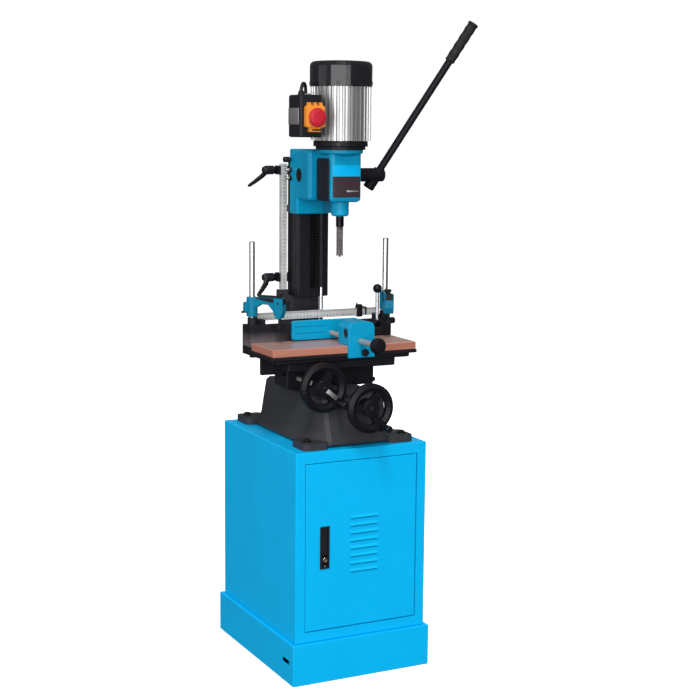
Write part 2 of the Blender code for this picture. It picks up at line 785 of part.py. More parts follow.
class Piece:
    """One piece of the machine: a first solid, then unions and cuts as Boolean modifiers.

    All shapes are given in the machine's own frame. The object's origin goes to the
    given place, which is a point on the joint's axis where the piece moves.
    """

    def __init__(self, name, paint, origin, shape, bevel=0.0, bevel_steps=1):
        self.origin = Vector(origin)
        self.object = self.make_object(name, shape)
        self.object.data.materials.append(make_finish(name, *paint))
        if bevel:
            add_bevel(self.object, bevel, bevel_steps)
        self.tools = 0

    def make_object(self, name, shape):
        shape.transform(Matrix.Translation(-self.origin))
        mesh = bpy.data.meshes.new(name)
        shape.to_mesh(mesh)
        shape.free()
        item = bpy.data.objects.new(name, mesh)
        bpy.context.scene.collection.objects.link(item)
        item.location = self.origin
        return item

    def use_tool(self, shape, operation, bevel, bevel_steps):
        self.tools += 1
        tool = self.make_object(f"{self.object.name}_tool_{self.tools}", shape)
        tool.location = (0, 0, 0)
        tool.parent = self.object
        tool.hide_render = True
        tool.display_type = "WIRE"
        if bevel:
            add_bevel(tool, bevel, bevel_steps)
        step = self.object.modifiers.new(f"{operation.lower()}_{self.tools}", "BOOLEAN")
        step.operation = operation
        step.solver = "EXACT"
        step.object = tool

    def add(self, shape, bevel=0.0, bevel_steps=1):
        self.use_tool(shape, "UNION", bevel, bevel_steps)
        return self

    def cut(self, shape, bevel=0.0, bevel_steps=1):
        self.use_tool(shape, "DIFFERENCE", bevel, bevel_steps)
        return self

    def smooth(self):
        """Shade round faces smooth and keep the sharp edges."""
        self.object.data.shade_smooth()
        self.object.data.set_sharp_from_angle(angle=SHARP_ANGLE)
        return self.object


def add_bevel(item, width, steps):
    bevel = item.modifiers.new("rounded_edges", "BEVEL")
    bevel.width = width
    bevel.segments = steps
    bevel.limit_method = "ANGLE"
    bevel.angle_limit = SHARP_ANGLE
    bevel.use_clamp_overlap = True


def mirrored(sign, low, high):
    """Order two X places after a mirror, so that the lower one comes first."""
    a, b = sign * low, sign * high
    return (a, b) if a < b else (b, a)


# Stand

CABINET_FRONT = -CABINET_DEPTH / 2
DOOR_HALF = DOOR_WIDTH / 2
HINGE_X = DOOR_HALF - HINGE_INSET
HINGE_Y = CABINET_FRONT + HINGE_INSET


def make_plinth():
    half_x = CABINET_WIDTH / 2 + PLINTH_MARGIN
    half_y = CABINET_DEPTH / 2 + PLINTH_MARGIN
    body = block((-half_x, -half_y, 0), (half_x, half_y, PLINTH_HEIGHT))
    piece = Piece("stand_plinth", SHEET_PAINT, (0, 0, 0), body, SHEET_BEND / 2)
    piece.cut(block(
        (SHEET - half_x, SHEET - half_y, SHEET),
        (half_x - SHEET, half_y - SHEET, PLINTH_HEIGHT - SHEET),
    ))
    mouth_x = CABINET_WIDTH / 2 - PLINTH_LEDGE
    mouth_y = CABINET_DEPTH / 2 - PLINTH_LEDGE
    mouth_low = (-mouth_x, -mouth_y, PLINTH_HEIGHT - 2 * SHEET)
    piece.cut(block(mouth_low, (mouth_x, mouth_y, PLINTH_HEIGHT + OVERRUN)))
    slot_y = PLINTH_SLOT_FROM_FRONT - half_y
    slot_low = (-half_x - OVERRUN, slot_y, PLINTH_SLOT_Z)
    slot_high = (OVERRUN - half_x, slot_y + PLINTH_SLOT_LENGTH, PLINTH_SLOT_Z + PLINTH_SLOT_HEIGHT)
    piece.cut(block(slot_low, slot_high))
    return piece.smooth()


def make_cabinet():
    half_x = CABINET_WIDTH / 2
    half_y = CABINET_DEPTH / 2
    bottom = PLINTH_HEIGHT + GAP
    body = block((-half_x, -half_y, bottom), (half_x, half_y, STAND_HEIGHT))
    piece = Piece("stand_cabinet", SHEET_PAINT, (0, 0, bottom), body, SHEET_BEND / 2)
    inner_low = (SHEET - half_x, SHEET - half_y, bottom + SHEET)
    piece.cut(block(inner_low, (half_x - SHEET, half_y - SHEET, STAND_HEIGHT - SHEET)))
    opening_x = DOOR_HALF + DOOR_GAP
    low_z = DOOR_BOTTOM - DOOR_GAP
    high_z = DOOR_TOP + DOOR_GAP
    frame_low = (-opening_x - SHEET, TINY - half_y, low_z - SHEET)
    piece.add(block(frame_low, (opening_x + SHEET, FRAME_RETURN - half_y, high_z + SHEET)))
    opening_low = (-opening_x, -half_y - OVERRUN, low_z)
    piece.cut(block(opening_low, (opening_x, FRAME_RETURN + OVERRUN - half_y, high_z)))
    piece.cut(hinge_rod_shape(HINGE_HOLE, HINGE_REACH + OVERRUN))
    return piece.smooth()


def hinge_rod_shape(diameter, reach):
    centre = (HINGE_X, HINGE_Y, 0)
    return rod(diameter, "z", centre, DOOR_BOTTOM - reach, DOOR_TOP + reach, SMALL_ROUND)


def make_hinge_rod():
    body = hinge_rod_shape(HINGE_ROD, HINGE_REACH)
    return Piece("door_hinge_rod", BRIGHT_STEEL, (HINGE_X, HINGE_Y, DOOR_BOTTOM), body).smooth()


def make_door():
    front = CABINET_FRONT
    back = front + DOOR_DEPTH
    body = block((-DOOR_HALF, front, DOOR_BOTTOM), (DOOR_HALF, back, DOOR_TOP))
    piece = Piece("stand_door", SHEET_PAINT, (HINGE_X, HINGE_Y, DOOR_BOTTOM), body, SHEET_BEND / 2)
    hollow_low = (SHEET - DOOR_HALF, front + SHEET, DOOR_BOTTOM + SHEET)
    piece.cut(block(hollow_low, (DOOR_HALF - SHEET, back + OVERRUN, DOOR_TOP - SHEET)))
    hoods = []
    slots = []
    half = LOUVRE_WIDTH / 2
    for k in range(LOUVRE_COUNT):
        top = LOUVRE_TOP - k * LOUVRE_PITCH
        lip = top - LOUVRE_HEIGHT
        hood = [(front + SHEET / 2, top), (front - LOUVRE_OUT, lip), (front + SHEET / 2, lip)]
        hoods.append(prism(hood, "x", LOUVRE_X - half, LOUVRE_X + half))
        slot_low = (LOUVRE_X - half + SHEET, front - TINY, lip - LOUVRE_SLOT)
        slots.append(block(slot_low, (LOUVRE_X + half - SHEET, front + 2 * SHEET, lip)))
    piece.add(merged(hoods))
    piece.cut(merged(slots))
    case_x = LATCH_WIDTH / 2 - LATCH_RIM + GAP
    case_z = LATCH_HEIGHT / 2 - LATCH_RIM + GAP
    case_low = (LATCH_X - case_x, front - OVERRUN, LATCH_Z - case_z)
    piece.cut(block(case_low, (LATCH_X + case_x, front + 2 * SHEET, LATCH_Z + case_z)))
    piece.cut(hinge_rod_shape(HINGE_HOLE, HINGE_REACH))
    return piece.smooth()


def make_latch():
    front = CABINET_FRONT - GAP
    face = front - LATCH_PROUD
    half_x = LATCH_WIDTH / 2
    half_z = LATCH_HEIGHT / 2
    origin = (LATCH_X, front, LATCH_Z)
    plate = block(
        (LATCH_X - half_x, face, LATCH_Z - half_z), (LATCH_X + half_x, front, LATCH_Z + half_z),
    )
    case = Piece("latch_case", BLACK_PLASTIC, origin, plate, LATCH_PROUD / 3)
    case_x = half_x - LATCH_RIM
    case_z = half_z - LATCH_RIM
    case_back = front + LATCH_CASE_DEPTH
    case.add(block(
        (LATCH_X - case_x, front - LATCH_PROUD / 2, LATCH_Z - case_z),
        (LATCH_X + case_x, case_back, LATCH_Z + case_z),
    ))
    well_x = case_x - SHEET
    well_z = case_z - SHEET
    well_back = case_back - SHEET
    case.cut(block(
        (LATCH_X - well_x, face - OVERRUN, LATCH_Z - well_z),
        (LATCH_X + well_x, well_back, LATCH_Z + well_z),
    ))
    handle_x = well_x - SHEET / 2
    top = LATCH_Z + well_z - SHEET / 2
    bottom = top - LATCH_HANDLE_LENGTH
    handle_back = face + LATCH_HANDLE_DEPTH
    pivot = (LATCH_X, face + SHEET, top)
    bar = block((LATCH_X - handle_x, face + SHEET, bottom), (LATCH_X + handle_x, handle_back, top))
    handle = Piece("latch_handle", BLACK_PLASTIC, pivot, bar, SHEET / 2)
    return case.smooth(), handle.smooth()


# Base casting and cross feed

FOOT_LEVEL = STAND_HEIGHT + GAP


def casting_ring(half_x, half_y, middle_y, z, front_share, rear_share):
    """One level of the base: a rectangle with its corners cut off for the bolts."""
    cut_x = BASE_CORNER_X
    cut_y = BASE_CORNER_Y
    front = ((half_x, half_y - cut_y * front_share), (half_x - cut_x * front_share, half_y))
    rear = ((half_x, half_y - cut_y * rear_share), (half_x - cut_x * rear_share, half_y))
    ring = [Vector((a, middle_y + b, z)) for a, b in rear]
    ring += [Vector((-a, middle_y + b, z)) for a, b in reversed(rear)]
    ring += [Vector((-a, middle_y - b, z)) for a, b in front]
    ring += [Vector((a, middle_y - b, z)) for a, b in reversed(front)]
    return ring


def casting_body(inset, drop, start):
    shape = bmesh.new()
    middle_y = (BASE_FRONT + BASE_REAR) / 2
    rings = []
    last = len(BASE_LEVELS) - 1
    for k, level in enumerate(BASE_LEVELS):
        z = FOOT_LEVEL + BASE_RELIEF + level
        if k == last:
            z = BASE_TOP - drop
        if k == 0:
            z = start
        ring = casting_ring(
            BASE_HALF_WIDTHS[k] - inset, BASE_HALF_DEPTHS[k] - inset, middle_y, z,
            BASE_FRONT_CORNER_SHARES[k], BASE_REAR_CORNER_SHARES[k],
        )
        rings.append([shape.verts.new(point) for point in ring])
    join_rings(shape, rings)
    return shape


def way_outline(half, height, undercut, z, play=0.0):
    """A dovetail way's section, wide at its top."""
    low = half - undercut
    return [
        (-low - play, z), (low + play, z), (half + play, z + height + play),
        (-half - play, z + height + play),
    ]


def make_base():
    body = casting_body(0, 0, FOOT_LEVEL + BASE_RELIEF)
    piece = Piece("base_casting", CAST_PAINT, (0, 0, FOOT_LEVEL), body, LUG_ROUND / 2)
    lugs = []
    holes = []
    for side in (-1, 1):
        low_x, high_x = mirrored(side, BASE_HALF_X - LUG_LENGTH_X, BASE_HALF_X)
        for edge, inward in ((BASE_FRONT, 1), (BASE_REAR, -1)):
            low_y, high_y = sorted((edge, edge + inward * LUG_LENGTH_Y))
            outline = rounded_outline((low_x, low_y), (high_x, high_y), LUG_ROUND)
            lugs.append(prism(outline, "z", FOOT_LEVEL, FOOT_LEVEL + LUG_THICKNESS))
            centre = (side * LUG_BOLT_X, edge + inward * LUG_BOLT_INSET_Y, 0)
            holes.append(rod(LUG_BOLT_HOLE, "z", centre, STAND_HEIGHT - OVERRUN, BASE_TOP, SMALL_ROUND))
    piece.add(merged(lugs))
    piece.add(prism(
        way_outline(WAY_HALF_X, WAY_HEIGHT, WAY_UNDERCUT, BASE_TOP - TINY), "y", WAY_FRONT, WAY_REAR,
    ))
    boss_front = BASE_FRONT - TINY
    boss = rod(
        BEARING_BOSS, "y", (0, 0, CROSS_SCREW_Z), boss_front - BEARING_BOSS_LENGTH + LUG_ROUND,
        BASE_FRONT + BEARING_BOSS,
    )
    piece.add(boss)
    piece.cut(casting_body(BASE_WALL, BASE_TOP_WALL, STAND_HEIGHT - OVERRUN))
    piece.cut(merged(holes))
    piece.cut(rod(
        SCREW_HOLE, "y", (0, 0, CROSS_SCREW_Z), BASE_FRONT - BEARING_BOSS_LENGTH, -CROSS_SCREW_REAR,
    ))
    slot_low = (-NUT_SLOT_HALF_X, NUT_SLOT_FRONT, BASE_TOP - 2 * BASE_TOP_WALL)
    piece.cut(block(slot_low, (NUT_SLOT_HALF_X, NUT_SLOT_REAR, BASE_TOP + WAY_HEIGHT + OVERRUN)))
    return piece.smooth()


def make_wheel(name, centre, turn, bore):
    """A three-spoke handwheel with its axis along Y, in front of which the crank stands."""
    rim_radius = WHEEL / 2
    section = WHEEL_RIM / 2
    steps = 6
    shape = bmesh.new()
    rings = []
    for k in range(LARGE_ROUND):
        angle = math.tau * k / LARGE_ROUND
        ring = []
        for s in range(steps):
            lean = math.tau * (s + 1 / 2) / steps
            radius = rim_radius - section + section * math.cos(lean)
            ring.append(shape.verts.new(
                (radius * math.cos(angle), radius * math.sin(angle), section * math.sin(lean))
            ))
        rings.append(ring)
    for k in range(LARGE_ROUND):
        here, there = rings[k], rings[(k + 1) % LARGE_ROUND]
        for s in range(steps):
            n = (s + 1) % steps
            shape.faces.new((here[s], here[n], there[n], there[s]))
    bmesh.ops.recalc_face_normals(shape, faces=shape.faces)
    to_place = Matrix.Translation(centre) @ axis_frame("y")
    piece = Piece(name, BLACK_PLASTIC, centre, moved(shape, to_place))
    spokes = []
    reach = rim_radius - section
    half = WHEEL_SPOKE_WIDTH / 2
    depth = WHEEL_SPOKE_DEPTH / 2
    for k in range(WHEEL_SPOKES):
        spin = Matrix.Rotation(math.pi / 2 - turn - math.tau * k / WHEEL_SPOKES, 4, "Y")
        spoke = prism(
            [(-half, 0), (half, 0), (half / 2, reach), (-half / 2, reach)], "y", -depth, depth,
        )
        spokes.append(moved(spoke, Matrix.Translation(centre) @ spin))
    for spoke in spokes:
        piece.add(spoke)
    back = WHEEL_HUB_LENGTH - section
    hub = rod(WHEEL_HUB, "y", centre, -section, back, MID_ROUND, SHEET)
    piece.add(hub)
    piece.cut(rod(bore, "y", centre, WHEEL_BORE_CAP - section, back + OVERRUN, MID_ROUND))
    crank = crank_place(centre, turn, 0)
    seat = WHEEL_SPOKE_WIDTH / 2
    piece.add(rod(2 * seat, "y", crank, -section, section, SMALL_ROUND))
    piece.cut(rod(CRANK_STUB + 2 * GAP, "y", crank, -section - OVERRUN, section + OVERRUN, SMALL_ROUND))
    return piece


def crank_place(centre, angle, along):
    """The crank handle's axis, at the rim, an angle round from +X towards +Z."""
    reach = WHEEL / 2 - WHEEL_RIM / 2
    return (centre[0] + reach * math.cos(angle), centre[1] + along, centre[2] + reach * math.sin(angle))


def make_crank(name, centre, angle):
    axis = crank_place(centre, angle, 0)
    front = -WHEEL_RIM / 2 - GAP
    profile = [
        (0, WHEEL_RIM / 2),
        (CRANK_STUB / 2, WHEEL_RIM / 2),
        (CRANK_STUB / 2, front),
        (CRANK_NECK / 2, front),
        (CRANK_NECK / 2, front - CRANK_NECK / 2),
        (CRANK_DIAMETER / 2, front - CRANK_LENGTH * CRANK_SWELL_SHARE),
        (CRANK_DIAMETER / 2, front - CRANK_LENGTH + SHEET_BEND),
        (CRANK_DIAMETER / 2 - SHEET_BEND, front - CRANK_LENGTH),
        (0, front - CRANK_LENGTH),
    ]
    return Piece(name, BLACK_PLASTIC, axis, turned(profile, "y", axis, HOLE_ROUND)).smooth()


CROSS_WHEEL = (0, CROSS_WHEEL_Y, CROSS_SCREW_Z)
TABLE_WHEEL = (PINION_X, TABLE_WHEEL_Y, PINION_Z)


def make_cross_feed():
    wheel = make_wheel("cross_handwheel", CROSS_WHEEL, CROSS_CRANK_ANGLE, CROSS_SCREW + 2 * GAP)
    screw_front = CROSS_WHEEL_Y - WHEEL_RIM / 2 + WHEEL_BORE_CAP + GAP
    screw = rod(
        CROSS_SCREW, "y", (0, 0, CROSS_SCREW_Z), screw_front, CROSS_SCREW_REAR, MID_ROUND, SHEET / 2,
    )
    leadscrew = Piece("cross_leadscrew", BRIGHT_STEEL, (0, 0, CROSS_SCREW_Z), screw)
    crank = make_crank("cross_crank_handle", CROSS_WHEEL, CROSS_CRANK_ANGLE)
    return wheel.smooth(), leadscrew.smooth(), crank


# Saddle and table feed

def make_saddle():
    bottom = BASE_TOP + GAP
    body = block((-SADDLE_HALF_X, SADDLE_FRONT, bottom), (SADDLE_HALF_X, SADDLE_REAR, SADDLE_TOP))
    piece = Piece("saddle", CAST_PAINT, (0, 0, bottom), body, SHEET)
    apron_back = APRON_FRONT + APRON_THICKNESS
    apron = block((-APRON_HALF_X, APRON_FRONT, APRON_BOTTOM), (APRON_HALF_X, apron_back, APRON_TOP))
    piece.add(apron, SHEET_BEND)
    web = block(
        (-SADDLE_HALF_X, apron_back - OVERRUN, bottom),
        (SADDLE_HALF_X, SADDLE_FRONT + OVERRUN, SADDLE_WEB_TOP),
    )
    piece.add(web)
    skirts = []
    for side in (-1, 1):
        low_x, high_x = mirrored(side, APRON_HALF_X - SKIRT_THICKNESS - SHEET, APRON_HALF_X - SHEET)
        skirts.append(block(
            (low_x, apron_back - OVERRUN, SKIRT_BOTTOM), (high_x, SKIRT_REAR, SADDLE_TOP - OVERRUN),
        ))
    for skirt in skirts:
        piece.add(skirt, SHEET_BEND)
    nut_half = NUT_WIDTH / 2
    nut_low = CROSS_SCREW_Z - nut_half
    piece.add(block(
        (-nut_half, -NUT_LENGTH / 2, nut_low), (nut_half, NUT_LENGTH / 2, SADDLE_TOP - OVERRUN),
    ))
    lower_way = way_outline(WAY_HALF_X, WAY_HEIGHT, WAY_UNDERCUT, BASE_TOP - TINY, GAP)
    lower_way[0] = (lower_way[0][0], BASE_TOP - OVERRUN)
    lower_way[1] = (lower_way[1][0], BASE_TOP - OVERRUN)
    channel = prism(lower_way, "y", APRON_FRONT - OVERRUN, SADDLE_REAR + OVERRUN)
    nut_room = block(
        (-nut_half, -NUT_LENGTH / 2, BASE_TOP - 2 * OVERRUN),
        (nut_half, NUT_LENGTH / 2, SADDLE_WEB_TOP + OVERRUN),
    )
    trimmed = Piece("saddle_channel_guide", DULL_STEEL, (0, 0, bottom), channel)
    trimmed.cut(nut_room)
    trimmed.object.hide_render = True
    trimmed.object.display_type = "WIRE"
    trimmed.object.parent = piece.object
    trimmed.object.location = (0, 0, 0)
    step = piece.object.modifiers.new("lower_way", "BOOLEAN")
    step.operation = "DIFFERENCE"
    step.solver = "EXACT"
    step.object = trimmed.object
    table_way = table_way_outline(GAP)
    piece.cut(prism(table_way, "x", -APRON_HALF_X - OVERRUN, APRON_HALF_X + OVERRUN))
    piece.cut(rod(SCREW_HOLE, "y", (0, 0, CROSS_SCREW_Z), -NUT_LENGTH, NUT_LENGTH))
    pocket_x = PINION_POCKET
    pocket_low = (PINION_X - pocket_x, apron_back + GAP, bottom - OVERRUN)
    piece.cut(block(pocket_low, (PINION_X + pocket_x, SADDLE_FRONT - GAP, APRON_TOP)))
    piece.cut(rod(
        PINION_SHAFT_HOLE, "y", (PINION_X, 0, PINION_Z), APRON_FRONT - OVERRUN,
        SADDLE_FRONT + PINION_FACE,
    ))
    room_low = (-APRON_HALF_X - OVERRUN, apron_back + GAP, RACK_ROOM_BOTTOM)
    piece.cut(block(room_low, (APRON_HALF_X + OVERRUN, SADDLE_FRONT - GAP, APRON_TOP + OVERRUN)))
    lock_hole = rod(
        SADDLE_LOCK_ROD + 2 * GAP, "x", (0, SADDLE_LOCK_Y, SADDLE_LOCK_Z),
        APRON_HALF_X - SKIRT_THICKNESS / 2, APRON_HALF_X + OVERRUN,
    )
    piece.cut(lock_hole)
    return piece.smooth()


def table_way_outline(play):
    """The table's dovetail way under its body: (y, z) points, wide at its bottom."""
    bottom = TABLE_UNDERSIDE - TABLE_WAY_HEIGHT - play
    top = TABLE_UNDERSIDE + TINY
    wide = TABLE_WAY_HALF_Y + play
    narrow = wide - TABLE_WAY_UNDERCUT
    y = TABLE_WAY_Y
    return [(y - wide, bottom), (y + wide, bottom), (y + narrow, top), (y - narrow, top)]


def make_saddle_lock():
    centre = (0, SADDLE_LOCK_Y, SADDLE_LOCK_Z)
    start = APRON_HALF_X + GAP
    body = rod(
        SADDLE_LOCK_HUB, "x", centre, start, start + SADDLE_LOCK_HUB_LENGTH, SMALL_ROUND, SHEET / 2,
    )
    piece = Piece("saddle_lock_lever", BLACK_PLASTIC, (start, SADDLE_LOCK_Y, SADDLE_LOCK_Z), body)
    piece.add(rod(
        SADDLE_LOCK_ROD, "x", centre, APRON_HALF_X - SKIRT_THICKNESS / 2 + GAP, start + SHEET,
        SMALL_ROUND,
    ))
    rod_centre = (start + SADDLE_LOCK_HUB_LENGTH / 2, SADDLE_LOCK_Y, SADDLE_LOCK_Z)
    piece.add(rod(SADDLE_LOCK_ROD, "z", rod_centre, 0, SADDLE_LOCK_LENGTH, SMALL_ROUND, SHEET / 2))
    return piece.smooth()


def make_table_feed():
    wheel = make_wheel("table_handwheel", TABLE_WHEEL, TABLE_CRANK_ANGLE, PINION_SHAFT + 2 * GAP)
    centre = (PINION_X, 0, PINION_Z)
    front = TABLE_WHEEL_Y - WHEEL_RIM / 2 + WHEEL_BORE_CAP + GAP
    back = SADDLE_FRONT + PINION_FACE - GAP
    shaft = Piece(
        "table_pinion_shaft", BRIGHT_STEEL, (PINION_X, TABLE_WHEEL_Y, PINION_Z),
        rod(PINION_SHAFT, "y", centre, front, back),
    )
    apron_back = APRON_FRONT + APRON_THICKNESS
    room = SADDLE_FRONT - apron_back
    start = apron_back + (room - PINION_FACE) / 2
    outline = gear_outline(
        PINION_TEETH, PINION_PITCH_RADIUS, PINION_TOOTH * 2, math.pi / 2 + math.pi / PINION_TEETH,
    )
    outline = [(PINION_X + a, PINION_Z + b) for a, b in outline]
    shaft.add(prism(outline, "y", start, start + PINION_FACE))
    crank = make_crank("table_crank_handle", TABLE_WHEEL, TABLE_CRANK_ANGLE)
    return wheel.smooth(), shaft.smooth(), crank


# Table

def make_table():
    seat_rear = FENCE_THICKNESS
    seat_low = TABLE_SEAT - SEAT_THICKNESS
    body = block((-TABLE_HALF_X, TABLE_FRONT, seat_low), (TABLE_HALF_X, seat_rear, TABLE_SEAT))
    piece = Piece("table_casting", CAST_PAINT, (0, 0, TABLE_SEAT), body, SHEET)
    step_front = TABLE_FRONT + TABLE_STEP_INSET
    step_low = seat_low - TABLE_STEP_DEPTH
    step = block(
        (-TABLE_STEP_HALF_X, step_front, step_low),
        (TABLE_STEP_HALF_X, seat_rear + SHEET, seat_low + SHEET),
    )
    piece.add(step, SHEET_BEND)
    body_front = TABLE_FRONT + TABLE_BODY_INSET
    lower = block(
        (-TABLE_BODY_HALF_X, body_front, TABLE_UNDERSIDE),
        (TABLE_BODY_HALF_X, TABLE_BODY_REAR, step_low + SHEET),
    )
    piece.add(lower, SHEET_BEND)
    fence_low = step_low + SHEET
    wall = block((-FENCE_HALF_X, 0, fence_low), (FENCE_HALF_X, FENCE_THICKNESS, FENCE_TOP))
    piece.add(wall, SHEET)
    ends = []
    for side in (-1, 1):
        low_x, high_x = mirrored(side, FENCE_HALF_X - FENCE_END_THICKNESS, FENCE_HALF_X)
        outline = [
            (FENCE_THICKNESS / 2, FENCE_END_BOTTOM),
            (FENCE_END_REAR, FENCE_END_BOTTOM),
            (FENCE_END_REAR, FENCE_TOP - SHEET_BEND),
            (FENCE_THICKNESS / 2, FENCE_TOP - SHEET),
        ]
        ends.append(prism(outline, "x", low_x, high_x))
    piece.add(merged(ends))
    ribs = []
    for side in (-1, 1):
        x = side * FENCE_RIB_X
        outline = [
            (FENCE_THICKNESS - SHEET, step_low + SHEET),
            (FENCE_RIB_REAR, step_low + SHEET),
            (FENCE_RIB_REAR, TABLE_SEAT),
            (FENCE_THICKNESS - SHEET, FENCE_TOP - FENCE_THICKNESS),
        ]
        ribs.append(prism(outline, "x", x - FENCE_THICKNESS / 2, x + FENCE_THICKNESS / 2))
    piece.add(merged(ribs))
    bosses = []
    for side in (-1, 1):
        centre = (side * (POST_X - SHEET), POST_Y, 0)
        bosses.append(rod(POST_BOSS, "z", centre, POST_BOSS_BOTTOM, POST_BOSS_TOP, MID_ROUND, SHEET))
    piece.add(merged(bosses))
    apron_back = APRON_FRONT + APRON_THICKNESS
    rib_y = (apron_back + SADDLE_FRONT) / 2
    half_rib = RACK_RIB_THICKNESS / 2
    rack = rack_rib_shape(rib_y - half_rib, rib_y + half_rib, step_low + SHEET)
    piece.add(rack)
    piece.add(prism(table_way_outline(0), "x", -TABLE_WAY_HALF_X, TABLE_WAY_HALF_X))
    studs = []
    for side in (-1, 1):
        x = side * RULE_STUD_X
        studs.append(block(
            (x - RULE_STUD, FENCE_THICKNESS / 2, FENCE_TOP - FENCE_THICKNESS),
            (x + RULE_STUD, RULE_BAR_Y - GAP, FENCE_TOP + FENCE_THICKNESS),
        ))
    piece.add(merged(studs), SHEET)
    holes = []
    for side in (-1, 1):
        centre = (side * POST_X, POST_Y, 0)
        holes.append(rod(
            POST_DIAMETER + 2 * GAP, "z", centre, POST_FOOT, POST_BOSS_TOP + OVERRUN, MID_ROUND,
        ))
    piece.cut(merged(holes))
    lock_axis = (0, POST_Y, POST_LOCK_Z)
    piece.cut(rod(
        LOCK_KNOB_STUD + 2 * GAP, "x", lock_axis, POST_X, FENCE_HALF_X + OVERRUN, SMALL_ROUND,
    ))
    return piece.smooth()


def rack_rib_shape(front, back, top):
    """The rib under the table, with rack teeth cut along its lower edge."""
    pitch = math.tau * PINION_PITCH_RADIUS / PINION_TEETH
    pitch_line = PINION_Z + PINION_PITCH_RADIUS + PINION_TOOTH
    root = pitch_line + PINION_TOOTH / 2
    tip = root - PINION_TOOTH
    count = int(2 * RACK_HALF_LENGTH / pitch) // 2
    left = PINION_X - count * pitch - pitch / 2
    right = PINION_X + count * pitch + pitch / 2
    outline = [(right, top), (left, top)]
    for k in range(2 * count + 1):
        middle = PINION_X + (k - count) * pitch
        half = pitch / 4
        if k > 0:
            outline.append((middle - half, root))
        else:
            outline.append((left, root))
            outline.append((middle - half, root))
        outline.append((middle - half / 2, tip))
        outline.append((middle + half / 2, tip))
        outline.append((middle + half, root))
    outline.append((right, root))
    return prism(outline, "y", front, back)


def make_board():
    bottom = TABLE_SEAT + GAP
    top = bottom + BOARD_THICKNESS
    body = block((-BOARD_HALF_X, TABLE_FRONT, bottom), (BOARD_HALF_X, -GAP, top))
    return Piece("table_board", BEECH, (0, 0, bottom), body, BOARD_EDGE).smooth()


BOARD_TOP = TABLE_SEAT + GAP + BOARD_THICKNESS


def make_posts():
    posts = []
    for name, side in (("post_left", -1), ("post_right", 1)):
        centre = (side * POST_X, POST_Y, 0)
        body = rod(POST_DIAMETER, "z", centre, POST_FOOT + GAP, POST_TOP, MID_ROUND, POST_EDGE)
        posts.append(Piece(name, BRIGHT_STEEL, (side * POST_X, POST_Y, POST_BOSS_TOP), body).smooth())
    return posts


def make_rule_bar():
    half = RULE_BAR_HEIGHT / 2
    low = (-RULE_BAR_HALF_X, RULE_BAR_Y, RULE_BAR_Z - half)
    body = block(low, (RULE_BAR_HALF_X, RULE_BAR_Y + RULE_BAR_THICKNESS, RULE_BAR_Z + half))
    return Piece("fence_rule", BARE_ALUMINIUM, (0, RULE_BAR_Y, RULE_BAR_Z), body).smooth()


def make_work_stop():
    half_bar = RULE_BAR_HEIGHT / 2
    middle_y = RULE_BAR_Y + RULE_BAR_THICKNESS / 2
    low_z = RULE_BAR_Z - half_bar - SHEET_BEND
    low = (STOP_X - STOP_WIDTH / 2, middle_y - STOP_DEPTH / 2, low_z)
    high = (STOP_X + STOP_WIDTH / 2, middle_y + STOP_DEPTH / 2, low_z + STOP_HEIGHT)
    piece = Piece("work_stop", CAST_PAINT, (STOP_X, middle_y, RULE_BAR_Z), block(low, high), SHEET)
    play = GAP
    slot_low = (low[0] - OVERRUN, RULE_BAR_Y - play, RULE_BAR_Z - half_bar - play)
    slot_high = (
        high[0] + OVERRUN, RULE_BAR_Y + RULE_BAR_THICKNESS + play, RULE_BAR_Z + half_bar + play,
    )
    piece.cut(block(slot_low, slot_high))
    rod_z = RULE_BAR_Z + half_bar + SHEET_BEND + STOP_ROD / 2
    finger_front = -STOP_ROD
    piece.add(rod(STOP_ROD, "y", (STOP_X, 0, rod_z), finger_front, middle_y, SMALL_ROUND))
    piece.add(rod(
        STOP_ROD, "z", (STOP_X, finger_front, 0), rod_z - STOP_ROD_DROP - STOP_ROD,
        rod_z + STOP_ROD / 2, SMALL_ROUND,
    ))
    knob_axis = (STOP_X, 0, RULE_BAR_Z)
    piece.cut(rod(
        LOCK_KNOB_STUD + 2 * GAP, "y", knob_axis, RULE_BAR_Y + RULE_BAR_THICKNESS + play,
        high[1] + OVERRUN, SMALL_ROUND,
    ))
    start = high[1] + GAP
    body = rod(STOP_KNOB, "y", knob_axis, start, start + STOP_KNOB_LENGTH, SMALL_ROUND, SHEET / 2)
    knob = Piece("work_stop_knob", BLACK_PLASTIC, (STOP_X, start, RULE_BAR_Z), body)
    wing = prism(
        [(-STOP_KNOB / 2, 0), (STOP_KNOB / 2, 0), (0, STOP_WING + STOP_KNOB / 2)], "y", 0,
        STOP_KNOB_LENGTH / 2,
    )
    knob.add(moved(wing, Matrix.Translation((STOP_X, start + STOP_KNOB_LENGTH / 3, RULE_BAR_Z))))
    knob.add(rod(
        LOCK_KNOB_STUD, "y", knob_axis, RULE_BAR_Y + RULE_BAR_THICKNESS + 2 * play, start + SHEET,
        SMALL_ROUND,
    ))
    return piece.smooth(), knob.smooth()


def make_post_lock():
    axis = (0, POST_Y, POST_LOCK_Z)
    start = FENCE_HALF_X + SHEET_BEND
    body = rod(LOCK_KNOB, "x", axis, start, start + LOCK_KNOB_LENGTH, SMALL_ROUND, SHEET)
    piece = Piece("post_lock_knob", BLACK_PLASTIC, (start, POST_Y, POST_LOCK_Z), body)
    reach = POST_X + POST_DIAMETER / 2 + GAP
    piece.add(rod(LOCK_KNOB_STUD, "x", axis, reach, start + SHEET, SMALL_ROUND))
    return piece.smooth()


